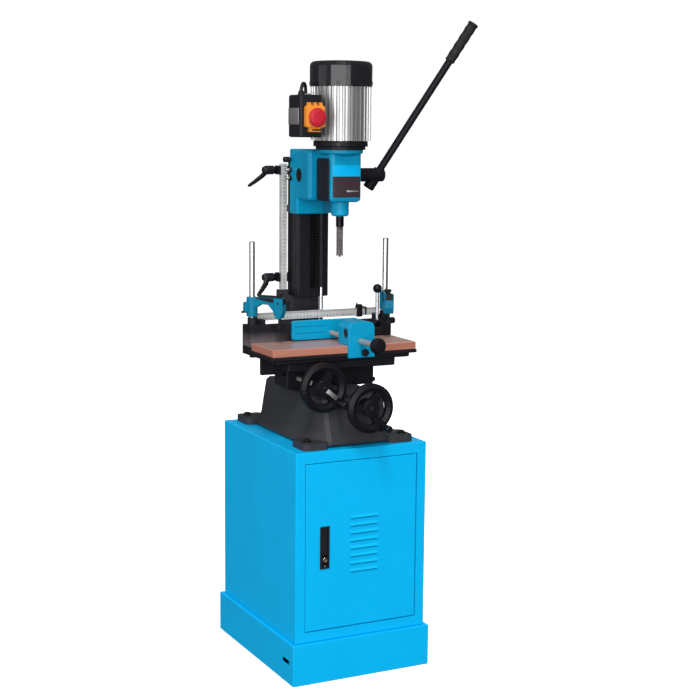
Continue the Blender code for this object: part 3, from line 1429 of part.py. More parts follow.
def make_hold_down(suffix, side, turn):
    """A hold-down on its post: collar, arched arm and end boss, with its screw and its lock lever."""
    post = Vector((side * POST_X, POST_Y, HOLD_Z))
    frame = Matrix.Translation(post) @ Matrix.Rotation(turn, 4, "Z")
    half_height = HOLD_COLLAR_HEIGHT / 2
    collar = rod(HOLD_COLLAR, "z", post, -half_height, half_height, MID_ROUND, SHEET)
    arm_name = "hold_down_" + suffix
    piece = Piece(arm_name, BLUE_PAINT, post, collar)
    top = half_height
    low = top - HOLD_END_HEIGHT
    under = top - HOLD_ARM_DEPTH
    end_half = HOLD_END_WIDTH / 2
    arch = [
        (0, top),
        (0, under - HOLD_ARM_DEPTH),
        (HOLD_COLLAR, under),
        (HOLD_REACH - HOLD_COLLAR, under),
        (HOLD_REACH - end_half, low + HOLD_END_TAPER),
        (HOLD_REACH, low + HOLD_END_TAPER),
        (HOLD_REACH, top),
    ]
    half = HOLD_ARM_WIDTH / 2
    piece.add(moved(prism(arch, "y", -half, half), frame), SHEET)
    ear_x = mirrored(
        side, POST_X + HOLD_COLLAR / 2 - SHEET_BEND, POST_X + HOLD_COLLAR / 2 + HOLD_EAR,
    )
    ear_low = (ear_x[0], POST_Y - HOLD_EAR_WIDTH / 2, HOLD_Z - HOLD_EAR_HEIGHT / 2)
    ear_high = (ear_x[1], POST_Y + HOLD_EAR_WIDTH / 2, HOLD_Z + HOLD_EAR_HEIGHT / 2)
    piece.add(block(ear_low, ear_high), SHEET)
    end = [
        (HOLD_REACH - end_half, top),
        (HOLD_REACH - end_half, low + HOLD_END_TAPER),
        (HOLD_REACH - end_half / 2, low),
        (HOLD_REACH + end_half / 2, low),
        (HOLD_REACH + end_half, low + HOLD_END_TAPER),
        (HOLD_REACH + end_half, top),
    ]
    piece.add(moved(prism(end, "y", -end_half, end_half), frame), SHEET)
    piece.cut(rod(
        POST_DIAMETER + 2 * GAP, "z", post, -half_height - OVERRUN, half_height + OVERRUN, MID_ROUND,
    ))
    slot_inner = HOLD_REACH - HOLD_SCREW_HEAD / 2 - SHEET
    slot_low = (slot_inner, -HOLD_END_SLOT, top - HOLD_END_TAPER)
    slot = block(slot_low, (HOLD_REACH + end_half + OVERRUN, HOLD_END_SLOT, top + OVERRUN))
    piece.cut(moved(slot, frame))
    piece.cut(moved(
        rod(HOLD_SCREW_HOLE, "z", (HOLD_REACH, 0, 0), low - OVERRUN, top + OVERRUN, SMALL_ROUND),
        frame,
    ))
    lever_axis = (HOLD_LEVER_FROM_POST, 0, 0)
    piece.cut(moved(
        rod(
            HOLD_LEVER_STUD + 2 * GAP, "z", lever_axis, top - 2 * HOLD_LEVER_STUD, top + OVERRUN,
            SMALL_ROUND,
        ),
        frame,
    ))

    origin = frame @ Vector((HOLD_REACH, 0, low))
    foot_top = low - SHEET - HOLD_FOOT_DROP
    foot_low = foot_top - HOLD_FOOT_HEIGHT
    screw_top = top - HOLD_END_TAPER + HOLD_SCREW_HEAD_HEIGHT / 2 + HOLD_SCREW_REACH
    profile = [
        (0, foot_low),
        (HOLD_FOOT / 2, foot_low),
        (HOLD_FOOT / 2, foot_top - SHEET),
        (HOLD_SCREW / 2, foot_top),
        (HOLD_SCREW / 2, screw_top),
        (HOLD_SCREW_HEAD / 2, screw_top),
        (HOLD_SCREW_HEAD / 2, screw_top + HOLD_SCREW_HEAD_HEIGHT),
        (0, screw_top + HOLD_SCREW_HEAD_HEIGHT),
    ]
    screw_shape = moved(turned(profile, "z", (HOLD_REACH, 0, 0), SMALL_ROUND), frame)
    screw = Piece("hold_down_screw_" + suffix, DULL_STEEL, origin, screw_shape)

    base = top + GAP
    lever_origin = frame @ Vector((HOLD_LEVER_FROM_POST, 0, base))
    length = HOLD_LEVER_LENGTH
    width = HOLD_LEVER_WIDTH / 2
    plan = [
        (-width, -width), (length - width, -width / 2), (length - width, width / 2), (-width, width),
    ]
    bar = prism([(HOLD_LEVER_FROM_POST + a, b) for a, b in plan], "z", base, base + HOLD_LEVER_HEIGHT)
    lever = Piece("hold_down_lever_" + suffix, BLACK_PLASTIC, lever_origin, moved(bar, frame), SHEET)
    stud = rod(
        HOLD_LEVER_STUD, "z", lever_axis, top - 2 * HOLD_LEVER_STUD + GAP, base + SHEET, SMALL_ROUND,
    )
    lever.add(moved(stud, frame))
    return piece.smooth(), screw.smooth(), lever.smooth()


# Vise

def make_vise():
    bottom = BOARD_TOP + GAP
    outline = rounded_outline((VISE_LEFT, bottom - VISE_ROUND * 2), (VISE_RIGHT, VISE_TOP), VISE_ROUND)
    body = prism(outline, "y", VISE_FRONT, VISE_REAR)
    piece = Piece(
        "vise_block", BLUE_PAINT, ((VISE_LEFT + VISE_RIGHT) / 2, VISE_FRONT, bottom), body, SHEET,
    )
    hook_front = block(
        (VISE_LEFT, VISE_FRONT, VISE_HOOK_BOTTOM), (VISE_RIGHT, TABLE_FRONT - GAP, bottom + SHEET),
    )
    under = block(
        (VISE_LEFT - OVERRUN, TABLE_FRONT - GAP, VISE_HOOK_BOTTOM - OVERRUN),
        (VISE_RIGHT + OVERRUN, VISE_REAR + OVERRUN, bottom),
    )
    piece.cut(under)
    piece.add(hook_front)
    pocket_centre = (0, VISE_POCKET_Y, VISE_POCKET_Z)
    piece.cut(rod(
        VISE_POCKET, "x", pocket_centre, VISE_LEFT - OVERRUN, VISE_LEFT + VISE_POCKET_DEPTH,
    ))
    piece.cut(rod(
        VISE_SCREW_HOLE, "y", (VISE_SCREW_X, 0, VISE_SCREW_Z), VISE_FRONT - OVERRUN,
        VISE_REAR + OVERRUN,
    ))
    piece.cut(rod(
        VISE_GUIDE_HOLE, "y", (VISE_GUIDE_X + VISE_GUIDE / 2, 0, VISE_GUIDE_Z), VISE_GUIDE_END,
        VISE_REAR + OVERRUN,
    ))
    lock = (VISE_LOCK_X, 0, VISE_LOCK_Z)
    piece.cut(rod(VISE_LOCK_STUD + 2 * GAP, "y", lock, VISE_FRONT - OVERRUN, TABLE_FRONT))
    lever = (0, VISE_LEVER_Y, VISE_LEVER_Z)
    piece.cut(rod(
        VISE_LEVER_STUD + 2 * GAP, "x", lever, VISE_RIGHT - VISE_LEVER_SEAT, VISE_RIGHT + OVERRUN,
        SMALL_ROUND,
    ))
    return piece.smooth()


def make_jaw():
    front = JAW_REAR - JAW_THICKNESS
    outline = rounded_outline((JAW_LEFT, JAW_BOTTOM), (JAW_RIGHT, JAW_TOP), JAW_ROUND)
    body = prism(outline, "y", front, JAW_REAR)
    piece = Piece("vise_jaw", BLUE_PAINT, (VISE_SCREW_X, JAW_REAR, VISE_SCREW_Z), body, SHEET)
    grooves = []
    third = (JAW_TOP - JAW_BOTTOM) / 3
    for k in (1, 2):
        z = JAW_BOTTOM + k * third
        low = (JAW_LEFT + JAW_ROUND, front - OVERRUN, z - JAW_GROOVE / 2)
        grooves.append(block(
            low, (VISE_GUIDE_X - JAW_ROUND, front + JAW_GROOVE_DEPTH, z + JAW_GROOVE / 2),
        ))
    piece.cut(merged(grooves))
    guide = rod(
        VISE_GUIDE, "y", (VISE_GUIDE_X + VISE_GUIDE / 2, 0, VISE_GUIDE_Z),
        VISE_REAR - VISE_GUIDE_REACH, front + SHEET,
    )
    piece.add(guide)
    seat = rod(
        VISE_SCREW_HOLE, "y", (VISE_SCREW_X, 0, VISE_SCREW_Z), front - OVERRUN,
        front + JAW_THICKNESS / 2,
    )
    piece.cut(seat)
    return piece.smooth()


def make_vise_screw():
    front = JAW_REAR - JAW_THICKNESS
    axis = (VISE_SCREW_X, 0, VISE_SCREW_Z)
    knob_back = VISE_FRONT - VISE_COLLAR_GAP
    seat = VISE_KNOB_LENGTH / 2
    body = rod(
        VISE_SCREW, "y", axis, knob_back - seat + GAP, front + JAW_THICKNESS / 2 - GAP, MID_ROUND,
        SHEET / 2,
    )
    screw = Piece("vise_screw", BRIGHT_STEEL, (VISE_SCREW_X, front, VISE_SCREW_Z), body)
    radius = VISE_KNOB / 2
    neck = VISE_SCREW / 2 + SHEET_BEND
    profile = [
        (0, knob_back - VISE_KNOB_LENGTH),
        *[(radius * wide, knob_back - VISE_KNOB_LENGTH * along) for wide, along in VISE_KNOB_SHARES],
        (neck, knob_back - SHEET),
        (neck, knob_back),
        (0, knob_back),
    ]
    knob = Piece(
        "vise_knob", BLACK_PLASTIC, (VISE_SCREW_X, knob_back, VISE_SCREW_Z),
        turned(profile, "y", axis, MID_ROUND),
    )
    knob.cut(rod(VISE_SCREW_HOLE, "y", axis, knob_back - seat, knob_back + OVERRUN))
    return screw.smooth(), knob.smooth()


def make_vise_lock():
    axis = (VISE_LOCK_X, 0, VISE_LOCK_Z)
    back = VISE_FRONT - SHEET_BEND
    body = rod(VISE_LOCK_KNOB, "y", axis, back - VISE_LOCK_KNOB / 2, back, SMALL_ROUND, SHEET)
    piece = Piece("vise_lock_knob", BLACK_PLASTIC, (VISE_LOCK_X, back, VISE_LOCK_Z), body)
    piece.add(rod(VISE_LOCK_STUD, "y", axis, back - SHEET, TABLE_FRONT - GAP, SMALL_ROUND))
    return piece.smooth()


def make_vise_lever():
    """The clamp lever with a ball on the right side of the vise block."""
    axis = (0, VISE_LEVER_Y, VISE_LEVER_Z)
    pivot = (VISE_LEVER_X, VISE_LEVER_Y, VISE_LEVER_Z)
    start = VISE_RIGHT + GAP
    hub = rod(
        VISE_LEVER_HUB, "x", axis, start, VISE_LEVER_X + VISE_LEVER_HUB / 2, HOLE_ROUND, SHEET / 2,
    )
    piece = Piece("vise_lever", BRIGHT_STEEL, (start, VISE_LEVER_Y, VISE_LEVER_Z), hub)
    shank_end = VISE_LEVER_LENGTH - VISE_LEVER_BALL / 4
    piece.add(rod(VISE_LEVER_ROD, "z", pivot, 0, shank_end, SMALL_ROUND))
    piece.add(rod(
        VISE_LEVER_STUD, "x", axis, VISE_RIGHT - VISE_LEVER_SEAT + GAP, start + SHEET, SMALL_ROUND,
    ))
    radius = VISE_LEVER_BALL / 2
    profile = [(0, -radius)]
    for k in range(1, BALL_RINGS):
        angle = math.pi * k / BALL_RINGS
        profile.append((radius * math.sin(angle), -radius * math.cos(angle)))
    profile.append((0, radius))
    centre = (VISE_LEVER_X, VISE_LEVER_Y, VISE_LEVER_Z + VISE_LEVER_LENGTH)
    ball = Piece("vise_lever_ball", BLACK_PLASTIC, centre, turned(profile, "z", centre, HOLE_ROUND))
    seat = rod(VISE_LEVER_ROD + 2 * GAP, "z", pivot, 0, shank_end + GAP, SMALL_ROUND)
    ball.cut(seat)
    return piece.smooth(), ball.smooth()


# Column, its foot, the rule and its stops

def make_column_foot():
    body = block(
        (-FOOT_HALF_X, FOOT_FRONT, BASE_TOP + GAP), (FOOT_HALF_X, FOOT_REAR, COLUMN_BOTTOM - GAP),
    )
    piece = Piece("column_foot", CAST_PAINT, (0, FOOT_FRONT, BASE_TOP), body, SHEET_BEND)
    bottom = BASE_TOP + GAP
    middle_y = (FOOT_FRONT + FOOT_REAR) / 2
    flare = bmesh.new()
    rings = []
    for z, grow in (
        (bottom, FOOT_FLARE), (bottom + FOOT_FLARE, FOOT_FLARE), (bottom + FOOT_FLARE_HEIGHT, -SHEET),
    ):
        half_x = FOOT_HALF_X + grow
        half_y = (FOOT_REAR - FOOT_FRONT) / 2 + min(grow, 0)
        corners = ((half_x, half_y), (-half_x, half_y), (-half_x, -half_y), (half_x, -half_y))
        rings.append([flare.verts.new((a, middle_y + b, z)) for a, b in corners])
    join_rings(flare, rings)
    piece.add(flare)
    back_front = COLUMN_REAR + GAP
    back_low = (-FOOT_BACK_HALF_X, back_front, COLUMN_BOTTOM - OVERRUN)
    piece.add(
        block(back_low, (FOOT_BACK_HALF_X, back_front + FOOT_BACK_THICKNESS, FOOT_BACK_TOP)),
        SHEET_BEND,
    )
    lug_low = (STRUT_X - STRUT_LUG_HALF_X, STRUT_Y - STRUT_LUG_REACH, STRUT_LUG_BOTTOM)
    lug_high = (STRUT_X + STRUT_LUG_HALF_X, FOOT_FRONT + OVERRUN, STRUT_LUG_BOTTOM + STRUT_LUG_HEIGHT)
    piece.add(block(lug_low, lug_high), SHEET)
    piece.cut(rod(
        STRUT_ROD + 2 * GAP, "z", (STRUT_X, STRUT_Y, 0), STRUT_LUG_BOTTOM - OVERRUN,
        STRUT_LUG_BOTTOM + STRUT_LUG_HEIGHT + OVERRUN, SMALL_ROUND,
    ))
    ear_low = (RULE_EAR_LEFT, RULE_EAR_FRONT, RULE_EAR_BOTTOM)
    piece.add(block(ear_low, (OVERRUN - FOOT_HALF_X, RULE_EAR_REAR, COLUMN_BOTTOM - GAP)), SHEET)
    tip_low = (RULE_EAR_LEFT, RULE_EAR_FRONT, COLUMN_BOTTOM - OVERRUN)
    piece.add(block(tip_low, (RULE_LEFT + RULE_WIDTH + SHEET_BEND, RULE_EAR_REAR, RULE_EAR_TOP)), SHEET)
    slot_low = (RULE_LEFT - GAP, RULE_FRONT - GAP, RULE_BOTTOM - GAP)
    slot_high = (
        RULE_LEFT + RULE_WIDTH + GAP, RULE_FRONT + RULE_THICKNESS + GAP, RULE_EAR_TOP + OVERRUN,
    )
    piece.cut(block(slot_low, slot_high))
    return piece.smooth()


def make_column():
    inner = COLUMN_HALF_X - COLUMN_WAY_UNDERCUT
    way_back = COLUMN_FRONT + COLUMN_WAY_DEPTH
    outline = [
        (-COLUMN_HALF_X, COLUMN_FRONT),
        (-inner, way_back),
        (-COLUMN_HALF_X, way_back + COLUMN_WAY_UNDERCUT / 2),
        (-COLUMN_HALF_X, COLUMN_GROOVE_Y),
        (COLUMN_GROOVE / 2 - COLUMN_HALF_X, COLUMN_GROOVE_Y + COLUMN_GROOVE / 2),
        (-COLUMN_HALF_X, COLUMN_GROOVE_Y + COLUMN_GROOVE),
        (-COLUMN_HALF_X, COLUMN_REAR),
        (COLUMN_HALF_X, COLUMN_REAR),
        (COLUMN_HALF_X, way_back + COLUMN_WAY_UNDERCUT / 2),
        (inner, way_back),
        (COLUMN_HALF_X, COLUMN_FRONT),
    ]
    body = prism(outline, "z", COLUMN_BOTTOM, COLUMN_TOP)
    piece = Piece("column", CAST_PAINT, (0, COLUMN_FRONT, COLUMN_BOTTOM), body, SHEET / 2)
    core_x = inner - COLUMN_WALL
    core_low = (-core_x, way_back + COLUMN_WALL, COLUMN_BOTTOM - OVERRUN)
    core_top = COLUMN_TOP - COLUMN_WALL
    piece.cut(block(core_low, (core_x, COLUMN_REAR - COLUMN_WALL, core_top)))
    notch_low = (COLUMN_RACK_LEFT, COLUMN_FRONT - OVERRUN, COLUMN_BOTTOM - OVERRUN)
    notch_high = (STRUT_X - STRUT_CYLINDER / 2, COLUMN_FRONT + COLUMN_WAY_DEPTH / 2, RACK_BOTTOM - GAP)
    piece.cut(block(notch_low, notch_high))
    seat_low = (COLUMN_RACK_LEFT - GAP, COLUMN_FRONT - OVERRUN, RACK_BOTTOM - 2 * GAP)
    seat_high = (
        COLUMN_RACK_RIGHT + GAP, COLUMN_FRONT + RACK_SEAT, RACK_BOTTOM + RACK_TEETH * RACK_PITCH + GAP,
    )
    piece.cut(block(seat_low, seat_high))
    return piece.smooth()


def make_column_rack():
    back = COLUMN_FRONT + RACK_SEAT - GAP
    root = COLUMN_FRONT - GAP
    tip = root - RACK_TOOTH
    top = RACK_BOTTOM + RACK_TEETH * RACK_PITCH
    outline = [(back, top), (back, RACK_BOTTOM)]
    for k in range(RACK_TEETH):
        start = RACK_BOTTOM + k * RACK_PITCH
        for depth, share in zip((root, tip, tip, root), RACK_TOOTH_SHARES):
            outline.append((depth, start + share * RACK_PITCH))
    outline.append((root, top))
    body = prism(outline, "x", COLUMN_RACK_LEFT, COLUMN_RACK_RIGHT)
    return Piece("column_rack", DULL_STEEL, (0, root, RACK_BOTTOM), body).smooth()


def make_depth_rule():
    low = (RULE_LEFT, RULE_FRONT, RULE_BOTTOM)
    high = (RULE_LEFT + RULE_WIDTH, RULE_FRONT + RULE_THICKNESS, RULE_TOP)
    return Piece("depth_rule", BARE_ALUMINIUM, low, block(low, high)).smooth()


def make_limit(name, z, turn):
    """A stop that slides on the rule, and the ratchet lever that locks it."""
    back = RULE_FRONT + RULE_THICKNESS + GAP
    half = LIMIT_HEIGHT / 2
    low = (LIMIT_LEFT, back, z - half)
    origin = (RULE_LEFT, back, z)
    body = block(low, (LIMIT_RIGHT, back + LIMIT_DEPTH, z + half))
    piece = Piece(name, CAST_PAINT, origin, body, SHEET / 2)
    lip_front = RULE_FRONT - GAP - LIMIT_LIP
    cheek = block((LIMIT_LEFT, lip_front, z - half), (RULE_LEFT - GAP, back + SHEET, z + half))
    piece.add(cheek)
    lip = block(
        (LIMIT_LEFT + SHEET, lip_front, z - half), (RULE_LEFT + LIMIT_LIP, RULE_FRONT - GAP, z + half),
    )
    piece.add(lip)
    axis = (0, back + LIMIT_DEPTH / 2, z)
    piece.cut(rod(
        CLAMP_STUD + 2 * GAP, "x", axis, LIMIT_LEFT - OVERRUN, LIMIT_LEFT + CLAMP_STUD_SEAT,
        SMALL_ROUND,
    ))
    return piece.smooth(), make_clamp_lever(name + "_lever", (LIMIT_LEFT, axis[1], z), turn)


def make_clamp_lever(name, seat, turn):
    """A ratchet lever: a stud and hub along X and an arm that leans away from the machine."""
    x, y, z = seat
    start = x - GAP
    radius = CLAMP_HUB / 2
    profile = [
        (CLAMP_STUD / 2, CLAMP_STUD_SEAT - GAP),
        (CLAMP_STUD / 2, -GAP),
        *[(radius * wide, -GAP - CLAMP_HUB_LENGTH * along) for wide, along in CLAMP_HUB_SHARES],
    ]
    hub = turned(profile, "x", (x, y, z), SMALL_ROUND)
    piece = Piece(name, BLACK_PLASTIC, (start, y, z), hub)
    root = -CLAMP_HUB_LENGTH * CLAMP_ARM_START_SHARE
    path = []
    sizes = []
    for radial, axial, wide in CLAMP_ARM_SHARES:
        path.append((root - CLAMP_ARM_AXIAL * axial, CLAMP_ARM_RADIAL * radial, 0))
        sizes.append(CLAMP_ARM_ROOT / 2 * wide)
    arm = tube_through(path, sizes, FEW_ROUND, CLAMP_ARM_FLAT_SHARE)
    frame = Matrix.Translation((x, y, z)) @ Matrix.Rotation(-turn, 4, "X")
    piece.add(moved(arm, frame))
    return piece.smooth()


def make_strut():
    centre = (STRUT_X, STRUT_Y, 0)
    body = rod(STRUT_ROD, "z", centre, STRUT_LUG_BOTTOM + GAP, STRUT_ROD_TOP, HOLE_ROUND, SHEET / 2)
    rod_piece = Piece("strut_rod", BRIGHT_STEEL, (STRUT_X, STRUT_Y, STRUT_LUG_BOTTOM), body)
    top = HEAD_BOTTOM + STRUT_SEAT - GAP
    barrel = rod(STRUT_CYLINDER, "z", centre, STRUT_CYLINDER_BOTTOM, top, HOLE_ROUND, SHEET / 2)
    cylinder = Piece("strut_cylinder", BLACK_PLASTIC, (STRUT_X, STRUT_Y, HEAD_BOTTOM), barrel)
    neck = STRUT_ROD + 2 * GAP
    cylinder.cut(rod(neck, "z", centre, STRUT_CYLINDER_BOTTOM - OVERRUN, top - STRUT_WALL, HOLE_ROUND))
    return rod_piece.smooth(), cylinder.smooth()


# Head

FEED_RADIUS = FEED_PINION_TEETH * RACK_PITCH / math.tau
FEED_Y = COLUMN_FRONT - GAP - RACK_TOOTH / 2 - FEED_PLAY - FEED_RADIUS


def make_head():
    body = block((SLIDE_LEFT, SLIDE_FRONT, HOUSING_BOTTOM), (SLIDE_RIGHT, SLIDE_REAR, HEAD_TOP))
    piece = Piece("head_casting", BLUE_PAINT, (0, COLUMN_FRONT, HEAD_BOTTOM), body, SLIDE_ROUND, 2)
    skirt = [
        (SLIDE_LEFT + TINY, SLIDE_REAR - TINY),
        (SLIDE_LEFT + TINY, HEAD_SKIRT_FRONT),
        (HEAD_SKIRT_CORNER_X, HEAD_SKIRT_FRONT),
        (SLIDE_RIGHT - TINY, HEAD_SKIRT_SIDE_Y),
        (SLIDE_RIGHT - TINY, SLIDE_REAR - TINY),
    ]
    piece.add(prism(skirt, "z", HEAD_BOTTOM, HOUSING_BOTTOM + 2 * SLIDE_ROUND), SHEET_BEND)
    cheek_low = (SLIDE_LEFT + TINY, SLIDE_REAR - 2 * SLIDE_ROUND, HEAD_BOTTOM + TINY)
    cheek = block(cheek_low, (-COLUMN_HALF_X - GAP, CHEEK_REAR, HEAD_TOP - TINY))
    piece.add(cheek, SHEET_BEND)
    housing = block(
        (-HOUSING_HALF_X, HOUSING_FRONT, HOUSING_BOTTOM),
        (HOUSING_HALF_X, SLIDE_FRONT + SLIDE_ROUND, HEAD_TOP - TINY),
    )
    piece.add(housing, HOUSING_ROUND, 2)
    collar_low = HEAD_TOP - HEAD_COLLAR_HEIGHT
    piece.add(turned([
        (HEAD_COLLAR / 2 - HEAD_COLLAR_HEIGHT, collar_low),
        (HEAD_COLLAR / 2, collar_low + HEAD_COLLAR_HEIGHT / 2),
        (HEAD_COLLAR / 2, HEAD_TOP - TINY / 2),
    ], "z", (0, MOTOR_Y, 0), LARGE_ROUND))
    spindle = (0, SPINDLE_Y, 0)
    nose = turned([
        (NOSE / 2 - NOSE_CHAMFER, NOSE_BOTTOM),
        (NOSE / 2, NOSE_BOTTOM + NOSE_CHAMFER),
        (NOSE / 2, HOUSING_BOTTOM + OVERRUN),
    ], "z", spindle, BOSS_ROUND)
    piece.add(nose)
    finger_low = (FINGER_LEFT, SLIDE_REAR - SLIDE_ROUND * 2, HEAD_BOTTOM + SHEET)
    piece.add(block(finger_low, (FINGER_RIGHT, FINGER_REAR, HEAD_BOTTOM + FINGER_HEIGHT)))
    slope = COLUMN_WAY_UNDERCUT / COLUMN_WAY_DEPTH
    far = SLIDE_REAR + OVERRUN
    far_half = COLUMN_HALF_X - slope * (far - COLUMN_FRONT) + GAP
    near_half = COLUMN_HALF_X + GAP
    channel = [
        (-near_half, COLUMN_FRONT - GAP), (-far_half, far), (far_half, far),
        (near_half, COLUMN_FRONT - GAP),
    ]
    piece.cut(prism(channel, "z", HEAD_BOTTOM - OVERRUN, HEAD_TOP + OVERRUN))
    rack_front = COLUMN_FRONT - GAP - RACK_TOOTH - 2 * GAP
    rack_low = (COLUMN_RACK_LEFT - GAP, rack_front, HEAD_BOTTOM - OVERRUN)
    piece.cut(block(rack_low, (COLUMN_RACK_RIGHT + GAP, COLUMN_FRONT, HEAD_TOP + OVERRUN)))
    feed = (0, FEED_Y, FEED_Z)
    room = FEED_RADIUS + FEED_TOOTH / 2 + FEED_PINION_ROOM
    pinion_right = FEED_PINION_LEFT + FEED_PINION_FACE
    piece.cut(rod(2 * room, "x", feed, FEED_PINION_LEFT - 2 * GAP, pinion_right + 2 * GAP, BOSS_ROUND))
    piece.cut(rod(
        FEED_SHAFT_HOLE, "x", feed, SLIDE_LEFT + FEED_HOLE_DEPTH / 2, SLIDE_RIGHT + OVERRUN, MID_ROUND,
    ))
    piece.cut(rod(FEED_HOLE, "x", feed, SLIDE_LEFT - OVERRUN, SLIDE_LEFT + FEED_HOLE_DEPTH, BOSS_ROUND))
    piece.cut(rod(
        STRUT_CYLINDER + 2 * GAP, "z", (STRUT_X, STRUT_Y, 0), HEAD_BOTTOM - OVERRUN,
        HEAD_BOTTOM + STRUT_SEAT, HOLE_ROUND,
    ))
    cavity_low = (-HOUSING_HALF_X - OVERRUN, CHUCK_CAVITY_FRONT, CHUCK_CAVITY_BOTTOM)
    piece.cut(block(cavity_low, (CHUCK_CAVITY_HALF_X, CHUCK_CAVITY_REAR, CHUCK_CAVITY_TOP)))
    piece.cut(rod(
        SPINDLE_HOLE, "z", spindle, NOSE_BOTTOM - OVERRUN, CHUCK_CAVITY_BOTTOM + OVERRUN, MID_ROUND,
    ))
    piece.cut(rod(
        ARBOR_DIAMETER + 2 * SHEET, "z", spindle, CHUCK_CAVITY_TOP - OVERRUN, HEAD_TOP + OVERRUN,
        MID_ROUND,
    ))
    return piece.smooth()


def make_chuck_cover():
    face = -HOUSING_HALF_X - GAP
    outline = [
        (COVER_FRONT, HOUSING_BOTTOM + SHEET_BEND),
        (COVER_FRONT, COVER_TOP - COVER_ROUND),
        (COVER_FRONT + COVER_ROUND, COVER_TOP),
        (COVER_REAR - COVER_ROUND, COVER_TOP),
        (COVER_REAR, COVER_TOP - COVER_ROUND),
        (COVER_REAR, HOUSING_BOTTOM + COVER_CUT),
        (COVER_REAR - COVER_ROUND, HOUSING_BOTTOM + SHEET_BEND),
    ]
    body = prism(outline, "x", face - COVER_THICKNESS, face)
    piece = Piece("chuck_cover", BLACK_PLASTIC, (face, COVER_REAR, HOUSING_BOTTOM), body, SHEET / 2)
    return piece.smooth()


def make_feed():
    feed = (0, FEED_Y, FEED_Z)
    left = SLIDE_LEFT + FEED_HOLE_DEPTH + GAP
    body = rod(FEED_SHAFT, "x", feed, left, SLIDE_RIGHT + OVERRUN, MID_ROUND)
    shaft = Piece("feed_shaft", CAST_PAINT, (LEVER_CROSS_X, FEED_Y, FEED_Z), body)
    phase = gear_phase()
    outline = [(a + FEED_Y, b + FEED_Z) for a, b in gear_outline(
        FEED_PINION_TEETH, FEED_RADIUS, FEED_TOOTH, phase,
    )]
    shaft.add(prism(outline, "x", FEED_PINION_LEFT, FEED_PINION_LEFT + FEED_PINION_FACE))
    hub_start = SLIDE_RIGHT + 2 * GAP
    shaft.add(rod(HUB_DIAMETER, "x", feed, hub_start, HUB_END, MID_ROUND, SHEET_BEND / 2))
    frame = lever_frame()
    half = LEVER_SOCKET / 2
    shaft.add(moved(
        rod(LEVER_SOCKET, "z", (0, 0, 0), -LEVER_SOCKET_DOWN, LEVER_SOCKET_UP, MID_ROUND, SHEET),
        frame,
    ))
    shaft.cut(moved(
        rod(
            LEVER_ROD + 2 * GAP, "z", (0, 0, 0), LEVER_SOCKET_WALL_FOOT - LEVER_SOCKET_DOWN,
            LEVER_SOCKET_UP + half, MID_ROUND,
        ),
        frame,
    ))

    foot = LEVER_SOCKET_WALL_FOOT - LEVER_SOCKET_DOWN + GAP
    origin = (LEVER_CROSS_X, FEED_Y, FEED_Z)
    grip_start = LEVER_LENGTH - GRIP_LENGTH
    lever_shape = rod(
        LEVER_ROD, "z", (0, 0, 0), foot, LEVER_LENGTH - SHEET_BEND - GAP, HOLE_ROUND, SHEET,
    )
    lever = Piece("feed_lever", BLACK_PLASTIC, origin, moved(lever_shape, frame))

    radius = GRIP_DIAMETER / 2
    waist = radius * GRIP_WAIST_SHARE
    profile = [(LEVER_ROD / 2 + SHEET, grip_start), (waist, grip_start + SHEET_BEND)]
    steps = GRIP_BUMPS * 4
    start = grip_start + GRIP_LENGTH * GRIP_END_SHARE
    end = LEVER_LENGTH - GRIP_LENGTH * GRIP_END_SHARE
    for k in range(steps + 1):
        share = k / steps
        wave = (1 - math.cos(math.tau * GRIP_BUMPS * share)) / 2
        profile.append((waist - GRIP_BUMP_DEPTH * (1 - wave) / 2, start + (end - start) * share))
    shoulder, tip = GRIP_TIP_SHARES
    profile.append((radius, LEVER_LENGTH - SHEET_BEND * 2))
    profile += [(radius * shoulder, LEVER_LENGTH - SHEET), (radius * tip, LEVER_LENGTH)]
    grip = Piece("feed_grip", BLACK_RUBBER, origin, moved(
        turned(profile, "z", (0, 0, 0), MID_ROUND), frame,
    ))
    bore = rod(
        LEVER_ROD + 2 * GAP, "z", (0, 0, 0), grip_start - OVERRUN, LEVER_LENGTH - SHEET_BEND,
        HOLE_ROUND,
    )
    grip.cut(moved(bore, frame))
    return shaft.smooth(), lever.smooth(), grip.smooth()


def gear_phase():
    """The pinion's turn at rest, which puts a gap of the pinion on a tooth of the rack."""
    middle = (RACK_TOOTH_SHARES[0] + RACK_TOOTH_SHARES[3]) / 2 * RACK_PITCH
    above = (FEED_Z - RACK_BOTTOM - middle) / RACK_PITCH
    nearest = (round(above) - above) * RACK_PITCH
    return nearest / FEED_RADIUS + math.pi / FEED_PINION_TEETH


def lever_frame():
    """The lever's own +Z, leaning out along +X and forward from upright."""
    lean_out = Matrix.Rotation(LEVER_TILT, 4, "Y")
    lean_forward = Matrix.Rotation(LEVER_FORWARD, 4, "X")
    return Matrix.Translation((LEVER_CROSS_X, FEED_Y, FEED_Z)) @ lean_forward @ lean_out


